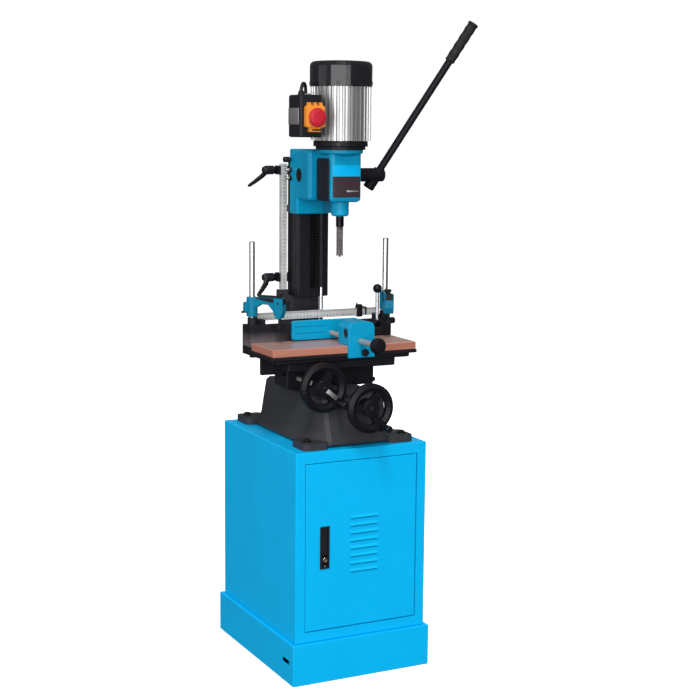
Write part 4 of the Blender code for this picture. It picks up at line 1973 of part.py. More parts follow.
def make_chisel():
    spindle = (0, SPINDLE_Y, 0)
    half = CHISEL_WIDTH / 2
    shank = turned([
        (CHISEL_BUSH / 2 - SHEET, CHISEL_BUSH_BOTTOM),
        (CHISEL_BUSH / 2, CHISEL_BUSH_BOTTOM + SHEET),
        (CHISEL_BUSH / 2, NOSE_BOTTOM - GAP),
        (CHISEL_SHANK / 2, NOSE_BOTTOM - GAP),
        (CHISEL_SHANK / 2, CHISEL_SHANK_TOP),
    ], "z", spindle, MID_ROUND)
    piece = Piece("hollow_chisel", DULL_STEEL, (0, SPINDLE_Y, CHISEL_BUSH_BOTTOM), shank)
    blade = block(
        (-half, SPINDLE_Y - half, CHISEL_TIP),
        (half, SPINDLE_Y + half, CHISEL_BUSH_BOTTOM + SHEET_BEND),
    )
    piece.add(blade)
    bore = CHISEL_BORE / 2
    piece.cut(turned([
        (half * CHISEL_MOUTH_SHARE, CHISEL_TIP - TINY),
        (bore, CHISEL_TIP + CHISEL_MOUTH),
        (bore, CHISEL_SHANK_TOP + OVERRUN),
    ], "z", spindle, MID_ROUND))
    window_low = CHISEL_TIP + CHISEL_WINDOW_LENGTH / 2
    window = block(
        (0, SPINDLE_Y - CHISEL_WINDOW_WIDTH / 2, window_low),
        (CHISEL_WIDTH, SPINDLE_Y + CHISEL_WINDOW_WIDTH / 2, window_low + CHISEL_WINDOW_LENGTH),
    )
    piece.cut(window)
    return piece.smooth()


def make_bit():
    """The auger inside the chisel, its chuck and the motor's arbor, as one turning piece."""
    rings = []
    shape = bmesh.new()
    length = CHUCK_BOTTOM - CHISEL_TIP
    steps = BIT_TURNS * BIT_STEPS
    radius = BIT_DIAMETER / 2
    core = BIT_CORE / 2
    land = BIT_LAND_ANGLE
    flute = BIT_FLUTE_ANGLE
    corners = ((radius, land), (core, flute), (core, math.pi - flute), (radius, math.pi - land))
    for k in range(steps + 1):
        turn = math.tau * BIT_TURNS * k / steps
        z = CHISEL_TIP + TINY + (length + TINY) * k / steps
        ring = []
        for half_turn in (0, math.pi):
            for reach, angle in corners:
                a = turn + angle + half_turn - math.pi / 2
                ring.append(shape.verts.new((reach * math.cos(a), SPINDLE_Y + reach * math.sin(a), z)))
        rings.append(ring)
    join_rings(shape, rings)
    piece = Piece("auger_bit", DULL_STEEL, (0, SPINDLE_Y, CHUCK_BOTTOM), shape)
    piece.add(turned([
        (CHUCK_DIAMETER / 2 * CHUCK_NOSE_SHARE, CHUCK_BOTTOM),
        (CHUCK_DIAMETER / 2, CHUCK_BOTTOM + CHUCK_DIAMETER / 4),
        (CHUCK_DIAMETER / 2, CHUCK_TOP),
        (ARBOR_DIAMETER / 2, CHUCK_TOP),
        (ARBOR_DIAMETER / 2, ARBOR_TOP),
    ], "z", (0, SPINDLE_Y, 0), MID_ROUND))
    return piece.smooth()


# Motor and switch

def make_motor():
    centre = (0, MOTOR_Y, 0)
    low = HEAD_TOP + GAP
    step = low + FLANGE_STEP_HEIGHT
    top = low + FLANGE_HEIGHT
    radius = FLANGE_DIAMETER / 2
    flange = Piece("motor_flange", CAST_PAINT, (0, MOTOR_Y, low), turned([
        (radius - FLANGE_STEP, low),
        (radius - FLANGE_STEP, step),
        (radius, step + SHEET),
        (radius, top - SHEET),
        (radius - SHEET, top),
    ], "z", centre, LARGE_ROUND))
    flange.cut(rod(ARBOR_DIAMETER + 2 * GAP, "z", centre, HEAD_TOP, ARBOR_TOP + GAP, MID_ROUND))
    base = top + GAP
    outline = []
    outer = MOTOR_DIAMETER / 2
    for k in range(MOTOR_RIBS):
        middle = math.tau * k / MOTOR_RIBS
        step_angle = math.tau / MOTOR_RIBS
        for share, reach in MOTOR_RIB_SHARES:
            r = outer - MOTOR_RIB_DEPTH * (1 - reach)
            angle = middle + share * step_angle
            outline.append((r * math.cos(angle), MOTOR_Y + r * math.sin(angle)))
    housing = Piece("motor_housing", BARE_ALUMINIUM, (0, MOTOR_Y, base), prism(
        outline, "z", base, base + MOTOR_HEIGHT,
    ))
    half = TERMINAL_WIDTH / 2
    terminal_low = (TERMINAL_X - half, TERMINAL_Y - half, TERMINAL_TOP - TERMINAL_HEIGHT)
    housing.add(
        block(terminal_low, (TERMINAL_X + TERMINAL_WIDTH * 2, TERMINAL_Y + half, TERMINAL_TOP)), SHEET,
    )
    cowl_low = base + MOTOR_HEIGHT + GAP
    cowl_top = cowl_low + COWL_HEIGHT
    cowl_radius = COWL_DIAMETER / 2
    profile = [(0, cowl_low), (cowl_radius, cowl_low)]
    for k in range(5):
        angle = math.pi / 2 * k / 4
        inner = cowl_radius - COWL_ROUND
        radius = inner + COWL_ROUND * math.cos(angle)
        height = cowl_top - COWL_CROWN - COWL_ROUND + COWL_ROUND * math.sin(angle)
        profile.append((radius, height))
    profile.append((0, cowl_top))
    cowl = Piece("fan_cowl", BLACK_PLASTIC, (0, MOTOR_Y, cowl_low), turned(
        profile, "z", centre, WIDE_ROUND,
    ))
    return flange.smooth(), housing.smooth(), cowl.smooth()


def make_switch():
    body = block((BOX_LEFT, BOX_FRONT, BOX_BOTTOM), (BOX_RIGHT, BOX_REAR, BOX_TOP))
    box = Piece("switch_box", BLACK_PLASTIC, (BOX_RIGHT, BOX_FRONT, BOX_BOTTOM), body, BOX_ROUND, 1)
    pad_low = (BOX_RIGHT - BOX_ROUND, BOX_PAD_FRONT, BOX_BOTTOM + BOX_PAD_INSET)
    box.add(block(pad_low, (BOX_RIGHT + BOX_PAD_INSET, BOX_REAR - BOX_ROUND, BOX_TOP - BOX_PAD_INSET)))
    box.cut(rod(
        MOTOR_DIAMETER + 2 * GAP, "z", (0, MOTOR_Y, 0), BOX_BOTTOM - OVERRUN, BOX_TOP + OVERRUN,
        LARGE_ROUND * 2,
    ))
    back = BOX_FRONT - GAP
    front = back - SWITCH_DEPTH
    half_w = SWITCH_WIDTH / 2
    half_h = SWITCH_HEIGHT / 2
    outline = rounded_outline(
        (SWITCH_X - half_w, SWITCH_Z - half_h), (SWITCH_X + half_w, SWITCH_Z + half_h), SWITCH_ROUND,
    )
    frame = Piece(
        "switch_frame", ORANGE_PLASTIC, (SWITCH_X, back, SWITCH_Z), prism(outline, "y", front, back),
        SHEET / 2,
    )
    tab_low = (
        SWITCH_X - SWITCH_TAB_WIDTH / 2, front + SHEET_BEND, SWITCH_Z - half_h - SWITCH_TAB_HEIGHT,
    )
    frame.add(
        block(tab_low, (SWITCH_X + SWITCH_TAB_WIDTH / 2, back, SWITCH_Z - half_h + SHEET)), SHEET / 2,
    )
    teeth = []
    gap = (SWITCH_WIDTH - 2 * SWITCH_ROUND - SWITCH_TOOTH_WIDTH) / (SWITCH_TEETH - 1)
    for k in range(SWITCH_TEETH):
        left = SWITCH_X - half_w + SWITCH_ROUND + k * gap
        narrow = SWITCH_TOOTH_WIDTH * (1 - SWITCH_TOOTH_TIP_SHARE) / 2
        root = SWITCH_Z + half_h - SHEET
        tip = root + SWITCH_TOOTH_HEIGHT
        tooth = [
            (left, root), (left + SWITCH_TOOTH_WIDTH, root),
            (left + SWITCH_TOOTH_WIDTH - narrow, tip), (left + narrow, tip),
        ]
        teeth.append(prism(tooth, "y", front + SHEET, back))
    frame.add(merged(teeth))
    axis = (SWITCH_X, 0, SWITCH_Z - BUTTON_DROP)
    frame.cut(rod(
        BUTTON_STEM + 2 * GAP, "y", axis, front - OVERRUN, front + BUTTON_SEAT + SHEET_BEND, MID_ROUND,
    ))
    head_back = front - BUTTON_STANDOFF
    radius = BUTTON_DIAMETER / 2
    profile = [
        (0, head_back - BUTTON_HEAD),
        *[(radius * wide, head_back - BUTTON_HEAD * deep) for wide, deep in BUTTON_SHARES],
        (BUTTON_STEM / 2, head_back),
        (BUTTON_STEM / 2, front + BUTTON_SEAT / 3),
        (0, front + BUTTON_SEAT / 3),
    ]
    button = Piece(
        "stop_button", RED_PLASTIC, (SWITCH_X, head_back, axis[2]),
        turned(profile, "y", axis, BOSS_ROUND),
    )
    return box.smooth(), frame.smooth(), button.smooth()


def make_cable():
    """The short lead from the switch box to the motor, held at both ends."""
    start = Vector((CABLE_START[0], CABLE_START[1], BOX_TOP + GAP))
    end = Vector((TERMINAL_X, TERMINAL_Y, TERMINAL_TOP + GAP))
    rise = Vector((0, 0, CABLE_RISE))
    straight = Vector((0, 0, CABLE_DIAMETER / 2))
    points = [start]
    for k in range(CABLE_STEPS + 1):
        t = k / CABLE_STEPS
        a = (start + straight) * (1 - t) ** 3 + (start + rise * 4 / 3) * 3 * t * (1 - t) ** 2
        b = (end + rise * 4 / 3) * 3 * t ** 2 * (1 - t) + (end + straight) * t ** 3
        points.append(a + b)
    points.append(end)
    shape = tube_through(points, [CABLE_DIAMETER / 2] * len(points), CABLE_SIDES)
    return Piece("switch_cable", BLACK_RUBBER, start, shape).smooth()


def main():
    clear_scene()
    make_plinth()
    make_cabinet()
    make_hinge_rod()
    make_door()
    make_latch()
    make_base()
    make_cross_feed()
    make_saddle()
    make_saddle_lock()
    make_table_feed()
    make_table()
    make_board()
    make_posts()
    make_rule_bar()
    make_work_stop()
    make_post_lock()
    make_vise_lever()
    make_hold_down("left", -1, HOLD_LEFT_TURN)
    make_hold_down("right", 1, HOLD_RIGHT_TURN)
    make_vise()
    make_jaw()
    make_vise_screw()
    make_vise_lock()
    make_column_foot()
    make_column()
    make_column_rack()
    make_depth_rule()
    make_limit("upper_stop", UPPER_LIMIT_Z, UPPER_CLAMP_TURN)
    make_limit("lower_stop", LOWER_LIMIT_Z, LOWER_CLAMP_TURN)
    make_strut()
    make_head()
    make_chuck_cover()
    make_feed()
    make_chisel()
    make_bit()
    make_motor()
    make_switch()
    make_cable()


main()
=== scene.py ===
"""Looks of the hollow chisel mortiser: finishes, fasteners, fine pieces, stage and camera.

Places are in metres, in the part's own frame: origin on the floor under the cabinet's
centre, +X to the right of someone facing the machine, -Y to the front, +Z up. Profiles,
screw sizes and the corners of small blocks are in millimetres, from the place they sit on.
"""
import math

import bmesh
import bpy
from mathutils import Matrix, Vector


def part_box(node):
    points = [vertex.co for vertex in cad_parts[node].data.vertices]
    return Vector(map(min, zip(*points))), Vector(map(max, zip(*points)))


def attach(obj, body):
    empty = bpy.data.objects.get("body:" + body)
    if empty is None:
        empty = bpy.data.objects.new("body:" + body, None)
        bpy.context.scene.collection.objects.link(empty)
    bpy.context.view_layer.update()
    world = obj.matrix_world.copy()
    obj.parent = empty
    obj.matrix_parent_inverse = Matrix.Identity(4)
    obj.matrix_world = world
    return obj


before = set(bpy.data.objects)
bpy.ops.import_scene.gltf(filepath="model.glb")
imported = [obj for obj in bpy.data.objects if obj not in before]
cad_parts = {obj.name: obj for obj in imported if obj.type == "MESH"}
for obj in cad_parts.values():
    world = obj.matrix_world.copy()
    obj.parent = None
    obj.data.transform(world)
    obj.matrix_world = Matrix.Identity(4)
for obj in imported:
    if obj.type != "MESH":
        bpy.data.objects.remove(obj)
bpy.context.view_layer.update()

MM = 0.001
FORWARD = (0, -1, 0)
LEFTWARD = (-1, 0, 0)
UPWARD = (0, 0, 1)


def middle(node):
    """The middle of a CAD node's box."""
    low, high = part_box(node)
    return tuple((a + b) / 2 for a, b in zip(low, high))


MOTOR_X, MOTOR_Y, _ = middle("fan_cowl")


# Colours

TEAL = (0.001, 0.290, 0.510)
# The machine teal darkened for the hold-down arms: painted shade
SHADED_ARM_TEAL = (0.001, 0.175, 0.300)
CYAN = (0.000, 0.410, 0.780)
PLATE_BLUE = (0.000, 0.420, 0.800)
PLATE_DARK = (0.044, 0.030, 0.036)
CAST = (0.0105, 0.0105, 0.0145)
WORN_CAST = (0.135, 0.112, 0.122)
BASE_GREY = (0.036, 0.037, 0.043)
BLACK = (0.010, 0.010, 0.014)
PAINT_BLACK = (0.011, 0.011, 0.015)
PHENOLIC_BLACK = (0.007, 0.007, 0.010)
# Black for printed marks, and for painted shade in slots, the keyway and the pocket
INK_AND_SHADE_BLACK = (0.02, 0.02, 0.02)
ORANGE = (0.86, 0.290, 0.036)
RED = (0.520, 0.016, 0.034)
BRIGHT_STEEL = (0.80, 0.80, 0.81)
CHROME = (0.72, 0.72, 0.73)
LEVER_CHROME = (0.50, 0.50, 0.51)
SCREW_STEEL = (0.56, 0.53, 0.51)
GUIDE_STEEL = (0.300, 0.285, 0.280)
TOOL_STEEL = (0.74, 0.67, 0.66)
RACK_STEEL = (0.030, 0.029, 0.030)
BLACKENED_STEEL = (0.07, 0.068, 0.066)
SCORCHED = (0.016, 0.014, 0.018)
ZINC = (0.55, 0.55, 0.53)
BRASS = (0.62, 0.52, 0.33)
RUST = (0.11, 0.075, 0.05)
RUBBER_BLACK = (0.010, 0.010, 0.011)
RUBBER_GREY = (0.020, 0.020, 0.021)
# The rib colours are painted light: shade in the valleys, a highlight on the crests
RIB_VALLEY_SHADE = (0.36, 0.355, 0.355)
RIB_CREST_HIGHLIGHT = (0.68, 0.675, 0.67)
RIB_STREAK = (0.42, 0.41, 0.41)
RIB_CLOUD = (0.52, 0.51, 0.51)
RULE_DULL = (0.62, 0.62, 0.62)
RULE_PALE = (0.74, 0.74, 0.73)
RULE_SCUFF = (0.42, 0.41, 0.40)
WOOD_PALE = (0.47, 0.190, 0.130)
WOOD_DEEP = (0.33, 0.110, 0.075)
WOOD_WARM = (0.42, 0.150, 0.100)
WOOD_PORE = (0.20, 0.085, 0.05)
# Paler colours for the board's upward faces: wear and a painted sheen of the light
WEAR_AND_SHEEN_WOOD_DULL = (0.40, 0.260, 0.232)
WEAR_AND_SHEEN_WOOD_PALE = (0.50, 0.350, 0.315)
WHITE = (1, 1, 1)

# Where a finish changes: each pair runs from the start of the change to its end

JAW_BARE_Y = (-0.0182, -0.0185)
HEAD_BLACK_Y = (0.0900, 0.0904)
CHISEL_DARK_Z = (1.1700, 1.1790)
LEVER_DARK_Z = (0.9300, 0.9285)
WORN_Z = (0.8960, 0.8660)
WORN_FOOT_Z = (0.8550, 0.8560)
WORN_X = (-0.100, -0.150)
# Reach from the motor's axis where the painted rib shade turns into the painted crest highlight
MOTOR_RIB_REACH = (0.0742, 0.0785)


# Node helpers

# The Mix node's sockets for colours, by number: their names belong to several sockets
MIX_SHARE = 0
MIX_FIRST = 6
MIX_SECOND = 7
MIX_RESULT = 2

# How far the rounded normal leans where the mask of the edges starts
EDGE_START = 0.02


class Graph:
    """Short helpers for a node tree, a material's or the world's."""

    def __init__(self, tree):
        self.tree = tree

    def feed(self, socket, value):
        """Give an input a number, a vector, an opaque colour or another node's output."""
        if isinstance(value, (int, float)):
            socket.default_value = value
        elif isinstance(value, tuple):
            socket.default_value = (*value, 1) if socket.type == "RGBA" else value
        else:
            self.tree.links.new(value, socket)

    def add(self, kind, inputs=None, **settings):
        """Add a node with its settings, and feed its inputs by name or number."""
        node = self.tree.nodes.new(kind)
        for name, value in settings.items():
            setattr(node, name, value)
        for key, value in (inputs or {}).items():
            self.feed(node.inputs[key], value)
        return node

    def coordinate(self, axis, vector):
        """One coordinate of a vector."""
        return self.add("ShaderNodeSeparateXYZ", {"Vector": vector}).outputs[axis]

    def spread(self, value, low, high, to_low=0.0, to_high=1.0, **settings):
        """Map a range of a value onto another, and hold it there."""
        return self.add("ShaderNodeMapRange", {
            "Value": value, "From Min": low, "From Max": high, "To Min": to_low, "To Max": to_high,
        }, **settings).outputs["Result"]

    def maths(self, operation, first, second):
        """Work out one value from two."""
        node = self.add("ShaderNodeMath", {0: first, 1: second}, operation=operation)
        return node.outputs["Value"]


class Finish(Graph):
    """A node material on Principled BSDF, with patterns in the piece's own coordinates."""

    def __init__(self, name, roughness, metallic=0.0):
        self.material = bpy.data.materials.new(name)
        self.material.use_nodes = True
        super().__init__(self.material.node_tree)
        self.shader = self.tree.nodes["Principled BSDF"]
        self.set("Roughness", roughness)
        self.set("Metallic", metallic)
        self.place = self.add("ShaderNodeTexCoord").outputs["Object"]
        self.normal = None

    def set(self, name, value):
        """Feed an input of the shader."""
        self.feed(self.shader.inputs[name], value)

    def mapped(self, scale, shift=(0, 0, 0)):
        """The piece's coordinates, scaled and then shifted along each axis."""
        return self.add("ShaderNodeMapping", {
            "Vector": self.place, "Scale": scale, "Location": shift,
        }).outputs["Vector"]

    def noise(self, scale, detail, rough=0.55, where=None, distortion=0.0):
        """Soft noise, with its scale in patches per metre."""
        return self.add("ShaderNodeTexNoise", {
            "Vector": where or self.place, "Scale": scale, "Detail": detail, "Roughness": rough,
            "Distortion": distortion,
        }).outputs["Fac"]

    def lines(self, scales, detail=3, rough=0.6, distortion=0.0):
        """Noise that is drawn out into lines by its own scale along each axis."""
        return self.noise(1.0, detail, rough, self.mapped(scales), distortion)

    def mixed(self, share, first, second):
        """Two colours, mixed by the second one's share: each is a colour or an output."""
        mix = self.add(
            "ShaderNodeMix", {MIX_SHARE: share, MIX_FIRST: first, MIX_SECOND: second},
            data_type="RGBA",
        )
        return mix.outputs[MIX_RESULT]

    def clouds(self, dark, light, scale, detail, start, end):
        """Two colours that run into each other in soft clouds."""
        return self.mixed(self.spread(self.noise(scale, detail), start, end), dark, light)

    def gloss(self, pattern, smooth, dull, end=0.7):
        """Let the roughness follow a pattern, from a smooth value to a dull one."""
        self.set("Roughness", self.spread(pattern, 0.3, end, smooth, dull))

    def follow(self, node):
        """Let the surface follow a node's normal."""
        self.normal = node.outputs["Normal"]
        self.set("Normal", self.normal)

    def rounded(self, radius):
        """Soften sharp edges in the light by a bevelled normal."""
        self.follow(self.add("ShaderNodeBevel", {"Radius": radius}, samples=4))

    def bump(self, pattern, height, strength):
        """Raise the surface by a pattern, on top of the normal that it has so far."""
        self.follow(self.add("ShaderNodeBump", {
            "Height": pattern, "Distance": height, "Strength": strength, "Normal": self.normal,
        }))

    def edges(self, end):
        """A mask of the sharp edges, from how far the rounded normal leans."""
        flat = self.add("ShaderNodeNewGeometry").outputs["Normal"]
        dot = self.add("ShaderNodeVectorMath", {0: self.normal, 1: flat}, operation="DOT_PRODUCT")
        return self.spread(self.maths("SUBTRACT", 1.0, dot.outputs["Value"]), EDGE_START, end)


def toned(colour, factor, lift=0.0):
    """A colour made darker or lighter."""
    return tuple(min(1.0, part * factor + lift) for part in colour)


# Finishes

def enamel(
    name, colour, roughness, peel=260, wear=0.30, shade=0.88, soft=0.9 * MM, shine=0.14, bare=None,
):
    """Sprayed machine paint: slight orange peel, uneven gloss and lighter rubbed edges.

    A bare part is a colour and the two y between which the paint gives way to it.
    """
    paint = Finish(name, roughness)
    paint.set("Specular IOR Level", shine)
    paint.rounded(soft)
    edge = paint.edges(end=0.16)
    tone = paint.clouds(toned(colour, shade), colour, scale=9, detail=3, start=0.35, end=0.68)
    rubs = paint.spread(paint.noise(120, detail=4), 0.38, 0.66, to_high=wear)
    tone = paint.mixed(paint.maths("MULTIPLY", edge, rubs), tone, toned(colour, 1.25, 0.04))
    if bare:
        bare_colour, start, end = bare
        past = paint.spread(paint.coordinate("Y", paint.place), start, end)
        tone = paint.mixed(past, tone, bare_colour)
    paint.set("Base Color", tone)
    paint.gloss(paint.noise(38, detail=4), smooth=roughness - 0.05, dull=roughness + 0.09)
    paint.bump(paint.noise(peel, detail=3, rough=0.5), height=0.10 * MM, strength=0.35)
    return paint.material


def fence_wear(paint):
    """The share of a streaked worn band, low down at the left of the table's fence."""
    height = paint.coordinate("Z", paint.place)
    low = paint.spread(height, *WORN_Z)
    left = paint.spread(paint.coordinate("X", paint.place), *WORN_X)
    streaks = paint.spread(paint.lines((60, 60, 9), detail=4), 0.3, 0.7, to_low=0.65)
    above = paint.spread(height, *WORN_FOOT_Z)
    return paint.maths(
        "MULTIPLY", paint.maths("MULTIPLY", low, left), paint.maths("MULTIPLY", streaks, above),
    )


def cast_paint(name, colour, worn=None):
    """Painted sand casting: a pebbled skin over shallow waves, with or without a worn band."""
    roughness = 0.46
    paint = Finish(name, roughness)
    paint.set("Specular IOR Level", 0.2)
    paint.rounded(1.4 * MM)
    edge = paint.edges(end=0.2)
    tone = paint.clouds(toned(colour, 0.8), colour, scale=14, detail=5, start=0.32, end=0.7)
    rubs = paint.spread(paint.noise(160, detail=3), 0.42, 0.7, to_high=0.45)
    tone = paint.mixed(paint.maths("MULTIPLY", edge, rubs), tone, toned(colour, 2.4, 0.02))
    if worn:
        tone = paint.mixed(fence_wear(paint), tone, worn)
    paint.set("Base Color", tone)
    paint.gloss(paint.noise(70, detail=4), smooth=roughness - 0.06, dull=roughness + 0.10, end=0.72)
    waves = paint.noise(45, detail=3, rough=0.5)
    pebbles = paint.noise(520, detail=6, rough=0.62)
    paint.bump(waves, height=0.5 * MM, strength=0.4)
    paint.bump(pebbles, height=0.35 * MM, strength=0.55)
    return paint.material


def plastic(name, colour, roughness=0.42, grain=1400, shine=0.3):
    """Moulded plastic with a fine spark-eroded grain."""
    skin = Finish(name, roughness)
    skin.set("Specular IOR Level", shine)
    skin.rounded(0.7 * MM)
    tone = skin.clouds(toned(colour, 0.85), colour, scale=30, detail=3, start=0.35, end=0.7)
    skin.set("Base Color", tone)
    skin.gloss(skin.noise(55, detail=3), smooth=roughness - 0.05, dull=roughness + 0.08)
    skin.bump(skin.noise(grain, detail=2, rough=0.5), height=0.06 * MM, strength=0.5)
    return skin.material


def rubber(name):
    """Dull black rubber: clouded, with a fine rough grain."""
    skin = Finish(name, 0.72)
    skin.set("Specular IOR Level", 0.3)
    skin.rounded(0.8 * MM)
    tone = skin.clouds(RUBBER_BLACK, RUBBER_GREY, scale=60, detail=4, start=0.35, end=0.7)
    skin.set("Base Color", tone)
    skin.gloss(skin.noise(90, detail=3), smooth=0.62, dull=0.82)
    skin.bump(skin.noise(900, detail=4, rough=0.6), height=0.10 * MM, strength=0.7)
    return skin.material


def steel(name, colour, roughness, along, fine, rust=0.0, dark=None, metal=1.0):
    """Turned or ground steel: fine lines that follow each other along an axis, and rust spots.

    Dark is two heights: the steel starts to blacken at the first and is black from the second.
    """
    smear = 25
    skin = Finish(name, roughness, metal)
    skin.rounded(0.5 * MM)
    lines = skin.lines(tuple(fine if axis == along else smear for axis in "xyz"))
    tone = skin.clouds(toned(colour, 0.82), colour, scale=26, detail=4, start=0.3, end=0.72)
    if rust:
        spots = skin.spread(skin.noise(230, detail=6, rough=0.7), 0.62, 0.74, to_high=rust)
        tone = skin.mixed(spots, tone, RUST)
    if dark:
        past = skin.spread(skin.coordinate("Z", skin.place), *dark)
        tone = skin.mixed(past, tone, SCORCHED)
    skin.set("Base Color", tone)
    skin.gloss(lines, smooth=roughness - 0.06, dull=roughness + 0.12)
    skin.bump(lines, height=0.03 * MM, strength=0.35)
    return skin.material


def ribbed_metal(name):
    """Extruded motor barrel: satin aluminium, drawn streaks, painted shade and highlights on its
    ribs.
    """
    skin = Finish(name, 0.4, 1.0)
    skin.rounded(0.4 * MM)
    level = skin.mapped(scale=(1, 1, 0), shift=(0, -MOTOR_Y, 0))
    reach = skin.add("ShaderNodeVectorMath", {0: level}, operation="LENGTH").outputs["Value"]
    # Painted light: crests, by their distance from the axis, get a painted highlight over the
    # valleys' painted shade
    crest_highlight_share = skin.spread(reach, *MOTOR_RIB_REACH)
    streaks = skin.lines((210, 210, 3), detail=4)
    tone = skin.mixed(crest_highlight_share, RIB_VALLEY_SHADE, RIB_CREST_HIGHLIGHT)
    tone = skin.mixed(skin.spread(streaks, 0.3, 0.7, to_high=0.35), tone, RIB_STREAK)
    clouds = skin.spread(skin.noise(14, detail=3), 0.35, 0.7, to_high=0.25)
    skin.set("Base Color", skin.mixed(clouds, tone, RIB_CLOUD))
    skin.gloss(streaks, smooth=0.34, dull=0.46)
    skin.bump(streaks, height=0.03 * MM, strength=0.25)
    return skin.material


def rule_metal(name):
    """Satin anodised rule: pale and faintly clouded, with a few dull scuffs and lined edges."""
    skin = Finish(name, 0.42, 0.35)
    skin.rounded(0.3 * MM)
    lines = skin.lines((30, 900, 30))
    scuffs = skin.spread(skin.noise(90, detail=5, rough=0.7), 0.6, 0.8, to_high=0.35)
    tone = skin.mixed(skin.spread(lines, 0.3, 0.7), RULE_DULL, RULE_PALE)
    skin.set("Base Color", skin.mixed(scuffs, tone, RULE_SCUFF))
    skin.gloss(lines, smooth=0.36, dull=0.5)
    skin.bump(lines, height=0.02 * MM, strength=0.3)
    return skin.material


def board_wood(name):
    """Reddish hardwood facing: long grain along X, a paler top of wear and painted sheen, clear
    satin varnish.
    """
    wood = Finish(name, 0.38)
    wood.set("Specular IOR Level", 0.35)
    wood.set("Coat Weight", 0.3)
    wood.set("Coat Roughness", 0.14)
    wood.rounded(0.8 * MM)
    wander = wood.lines((3.0, 22, 22), detail=4, distortion=0.6)
    fibre = wood.lines((14, 620, 620), detail=5, rough=0.7)
    rings = wood.add("ShaderNodeTexWave", {
        "Vector": wood.mapped((1.6, 34, 34)), "Scale": 1.1, "Distortion": 9.0, "Detail": 4.0,
        "Detail Scale": 1.3,
    }, wave_type="BANDS", bands_direction="Y", wave_profile="SAW").outputs["Fac"]
    late = wood.spread(rings, 0.1, 0.95, to_high=0.75)
    tone = wood.mixed(late, WOOD_PALE, WOOD_DEEP)
    tone = wood.mixed(wood.spread(wander, 0.35, 0.72, to_high=0.6), tone, WOOD_WARM)
    # Faces that look up are mixed paler: partly wear, partly a painted sheen
    facing_up = wood.coordinate("Z", wood.add("ShaderNodeTexCoord").outputs["Normal"])
    worn = wood.mixed(wood.spread(wander, 0.3, 0.7), WEAR_AND_SHEEN_WOOD_DULL, WEAR_AND_SHEEN_WOOD_PALE)
    tone = wood.mixed(wood.spread(facing_up, 0.5, 0.9, to_high=0.8), tone, worn)
    pores = wood.spread(fibre, 0.44, 0.72, to_high=0.4)
    wood.set("Base Color", wood.mixed(pores, tone, WOOD_PORE))
    wood.gloss(fibre, smooth=0.30, dull=0.48)
    wood.bump(fibre, height=0.08 * MM, strength=0.5)
    return wood.material


def make_finishes():
    """Every finish of the machine, by the short name that its pieces use."""
    return {
        "teal": enamel("machine_enamel", TEAL, 0.30, soft=2.4 * MM, shine=0.2),
        "jaw_teal": enamel(
            "jaw_enamel", TEAL, 0.30, soft=2.0 * MM, shine=0.2, bare=(GUIDE_STEEL, *JAW_BARE_Y),
        ),
        # The arms' paint is the machine teal with painted shade in its colour
        "shaded_arm_teal": enamel("shaded_arm_enamel", SHADED_ARM_TEAL, 0.30, soft=1.6 * MM),
        "head_teal": enamel(
            "head_enamel", TEAL, 0.28, soft=1.6 * MM, bare=(BLACK, *HEAD_BLACK_Y),
        ),
        "cyan": enamel("cabinet_powder_coat", CYAN, 0.42, peel=620, wear=0.25, shade=0.955),
        "cast": cast_paint("black_casting_paint", CAST),
        "table_cast": cast_paint("table_casting_paint", CAST, worn=WORN_CAST),
        "base_cast": cast_paint("grey_casting_paint", BASE_GREY),
        "smooth_black": enamel("black_machine_paint", PAINT_BLACK, 0.36, peel=420, wear=0.25),
        "plastic": plastic("black_plastic", BLACK),
        "gloss_plastic": plastic("black_phenolic", PHENOLIC_BLACK, 0.34, grain=500, shine=0.16),
        "cowl": plastic("cowl_plastic", BLACK, 0.16, grain=700, shine=0.5),
        "rubber": rubber("black_rubber"),
        "post": steel("ground_post_steel", BRIGHT_STEEL, 0.18, along="z", fine=1400),
        "screw_y": steel("turned_screw_steel", SCREW_STEEL, 0.36, along="y", fine=1500, metal=0.6),
        "chrome": steel("chromed_steel", CHROME, 0.10, along="z", fine=700),
        "lever_chrome": steel(
            "chromed_lever_steel", LEVER_CHROME, 0.20, along="z", fine=700, dark=LEVER_DARK_Z,
        ),
        "tool_steel": steel(
            "tool_steel", TOOL_STEEL, 0.30, along="z", fine=1200, rust=0.12, dark=CHISEL_DARK_Z,
        ),
        "rack_steel": steel("oiled_rack_steel", RACK_STEEL, 0.42, along="x", fine=1800, rust=0.3),
        "zinc": steel("zinc_plated_steel", ZINC, 0.30, along="z", fine=900),
        "dark_screw": steel("blackened_screw_steel", BLACKENED_STEEL, 0.38, along="z", fine=900),
        "rule": rule_metal("rule_aluminium"),
        "motor": ribbed_metal("ribbed_aluminium"),
        "board": board_wood("board_hardwood"),
        "orange": plastic("orange_plastic", ORANGE, 0.36, grain=900, shine=0.25),
        "red": plastic("red_plastic", RED, 0.42, grain=700, shine=0.2),
        # Ink for printed marks, also painted shade in slots, the keyway and the pocket's floor
        "ink": plastic("black_ink_and_painted_shade", INK_AND_SHADE_BLACK, 0.5),
        # Bright steel for bare plates and strips, and for the painted highlight on the handwheel's
        # spoke
        "plate": steel("bare_plate_and_spoke_highlight", BRIGHT_STEEL, 0.38, along="z", fine=700),
        "blue_plate": enamel("plain_front_plate", PLATE_BLUE, 0.30, peel=500, wear=0.1),
        "dark_plate": enamel("plain_dark_plate", PLATE_DARK, 0.34, peel=500, wear=0.1),
        "brass": steel("brass_key_barrel", BRASS, 0.3, along="y", fine=900),
    }


finishes = make_finishes()

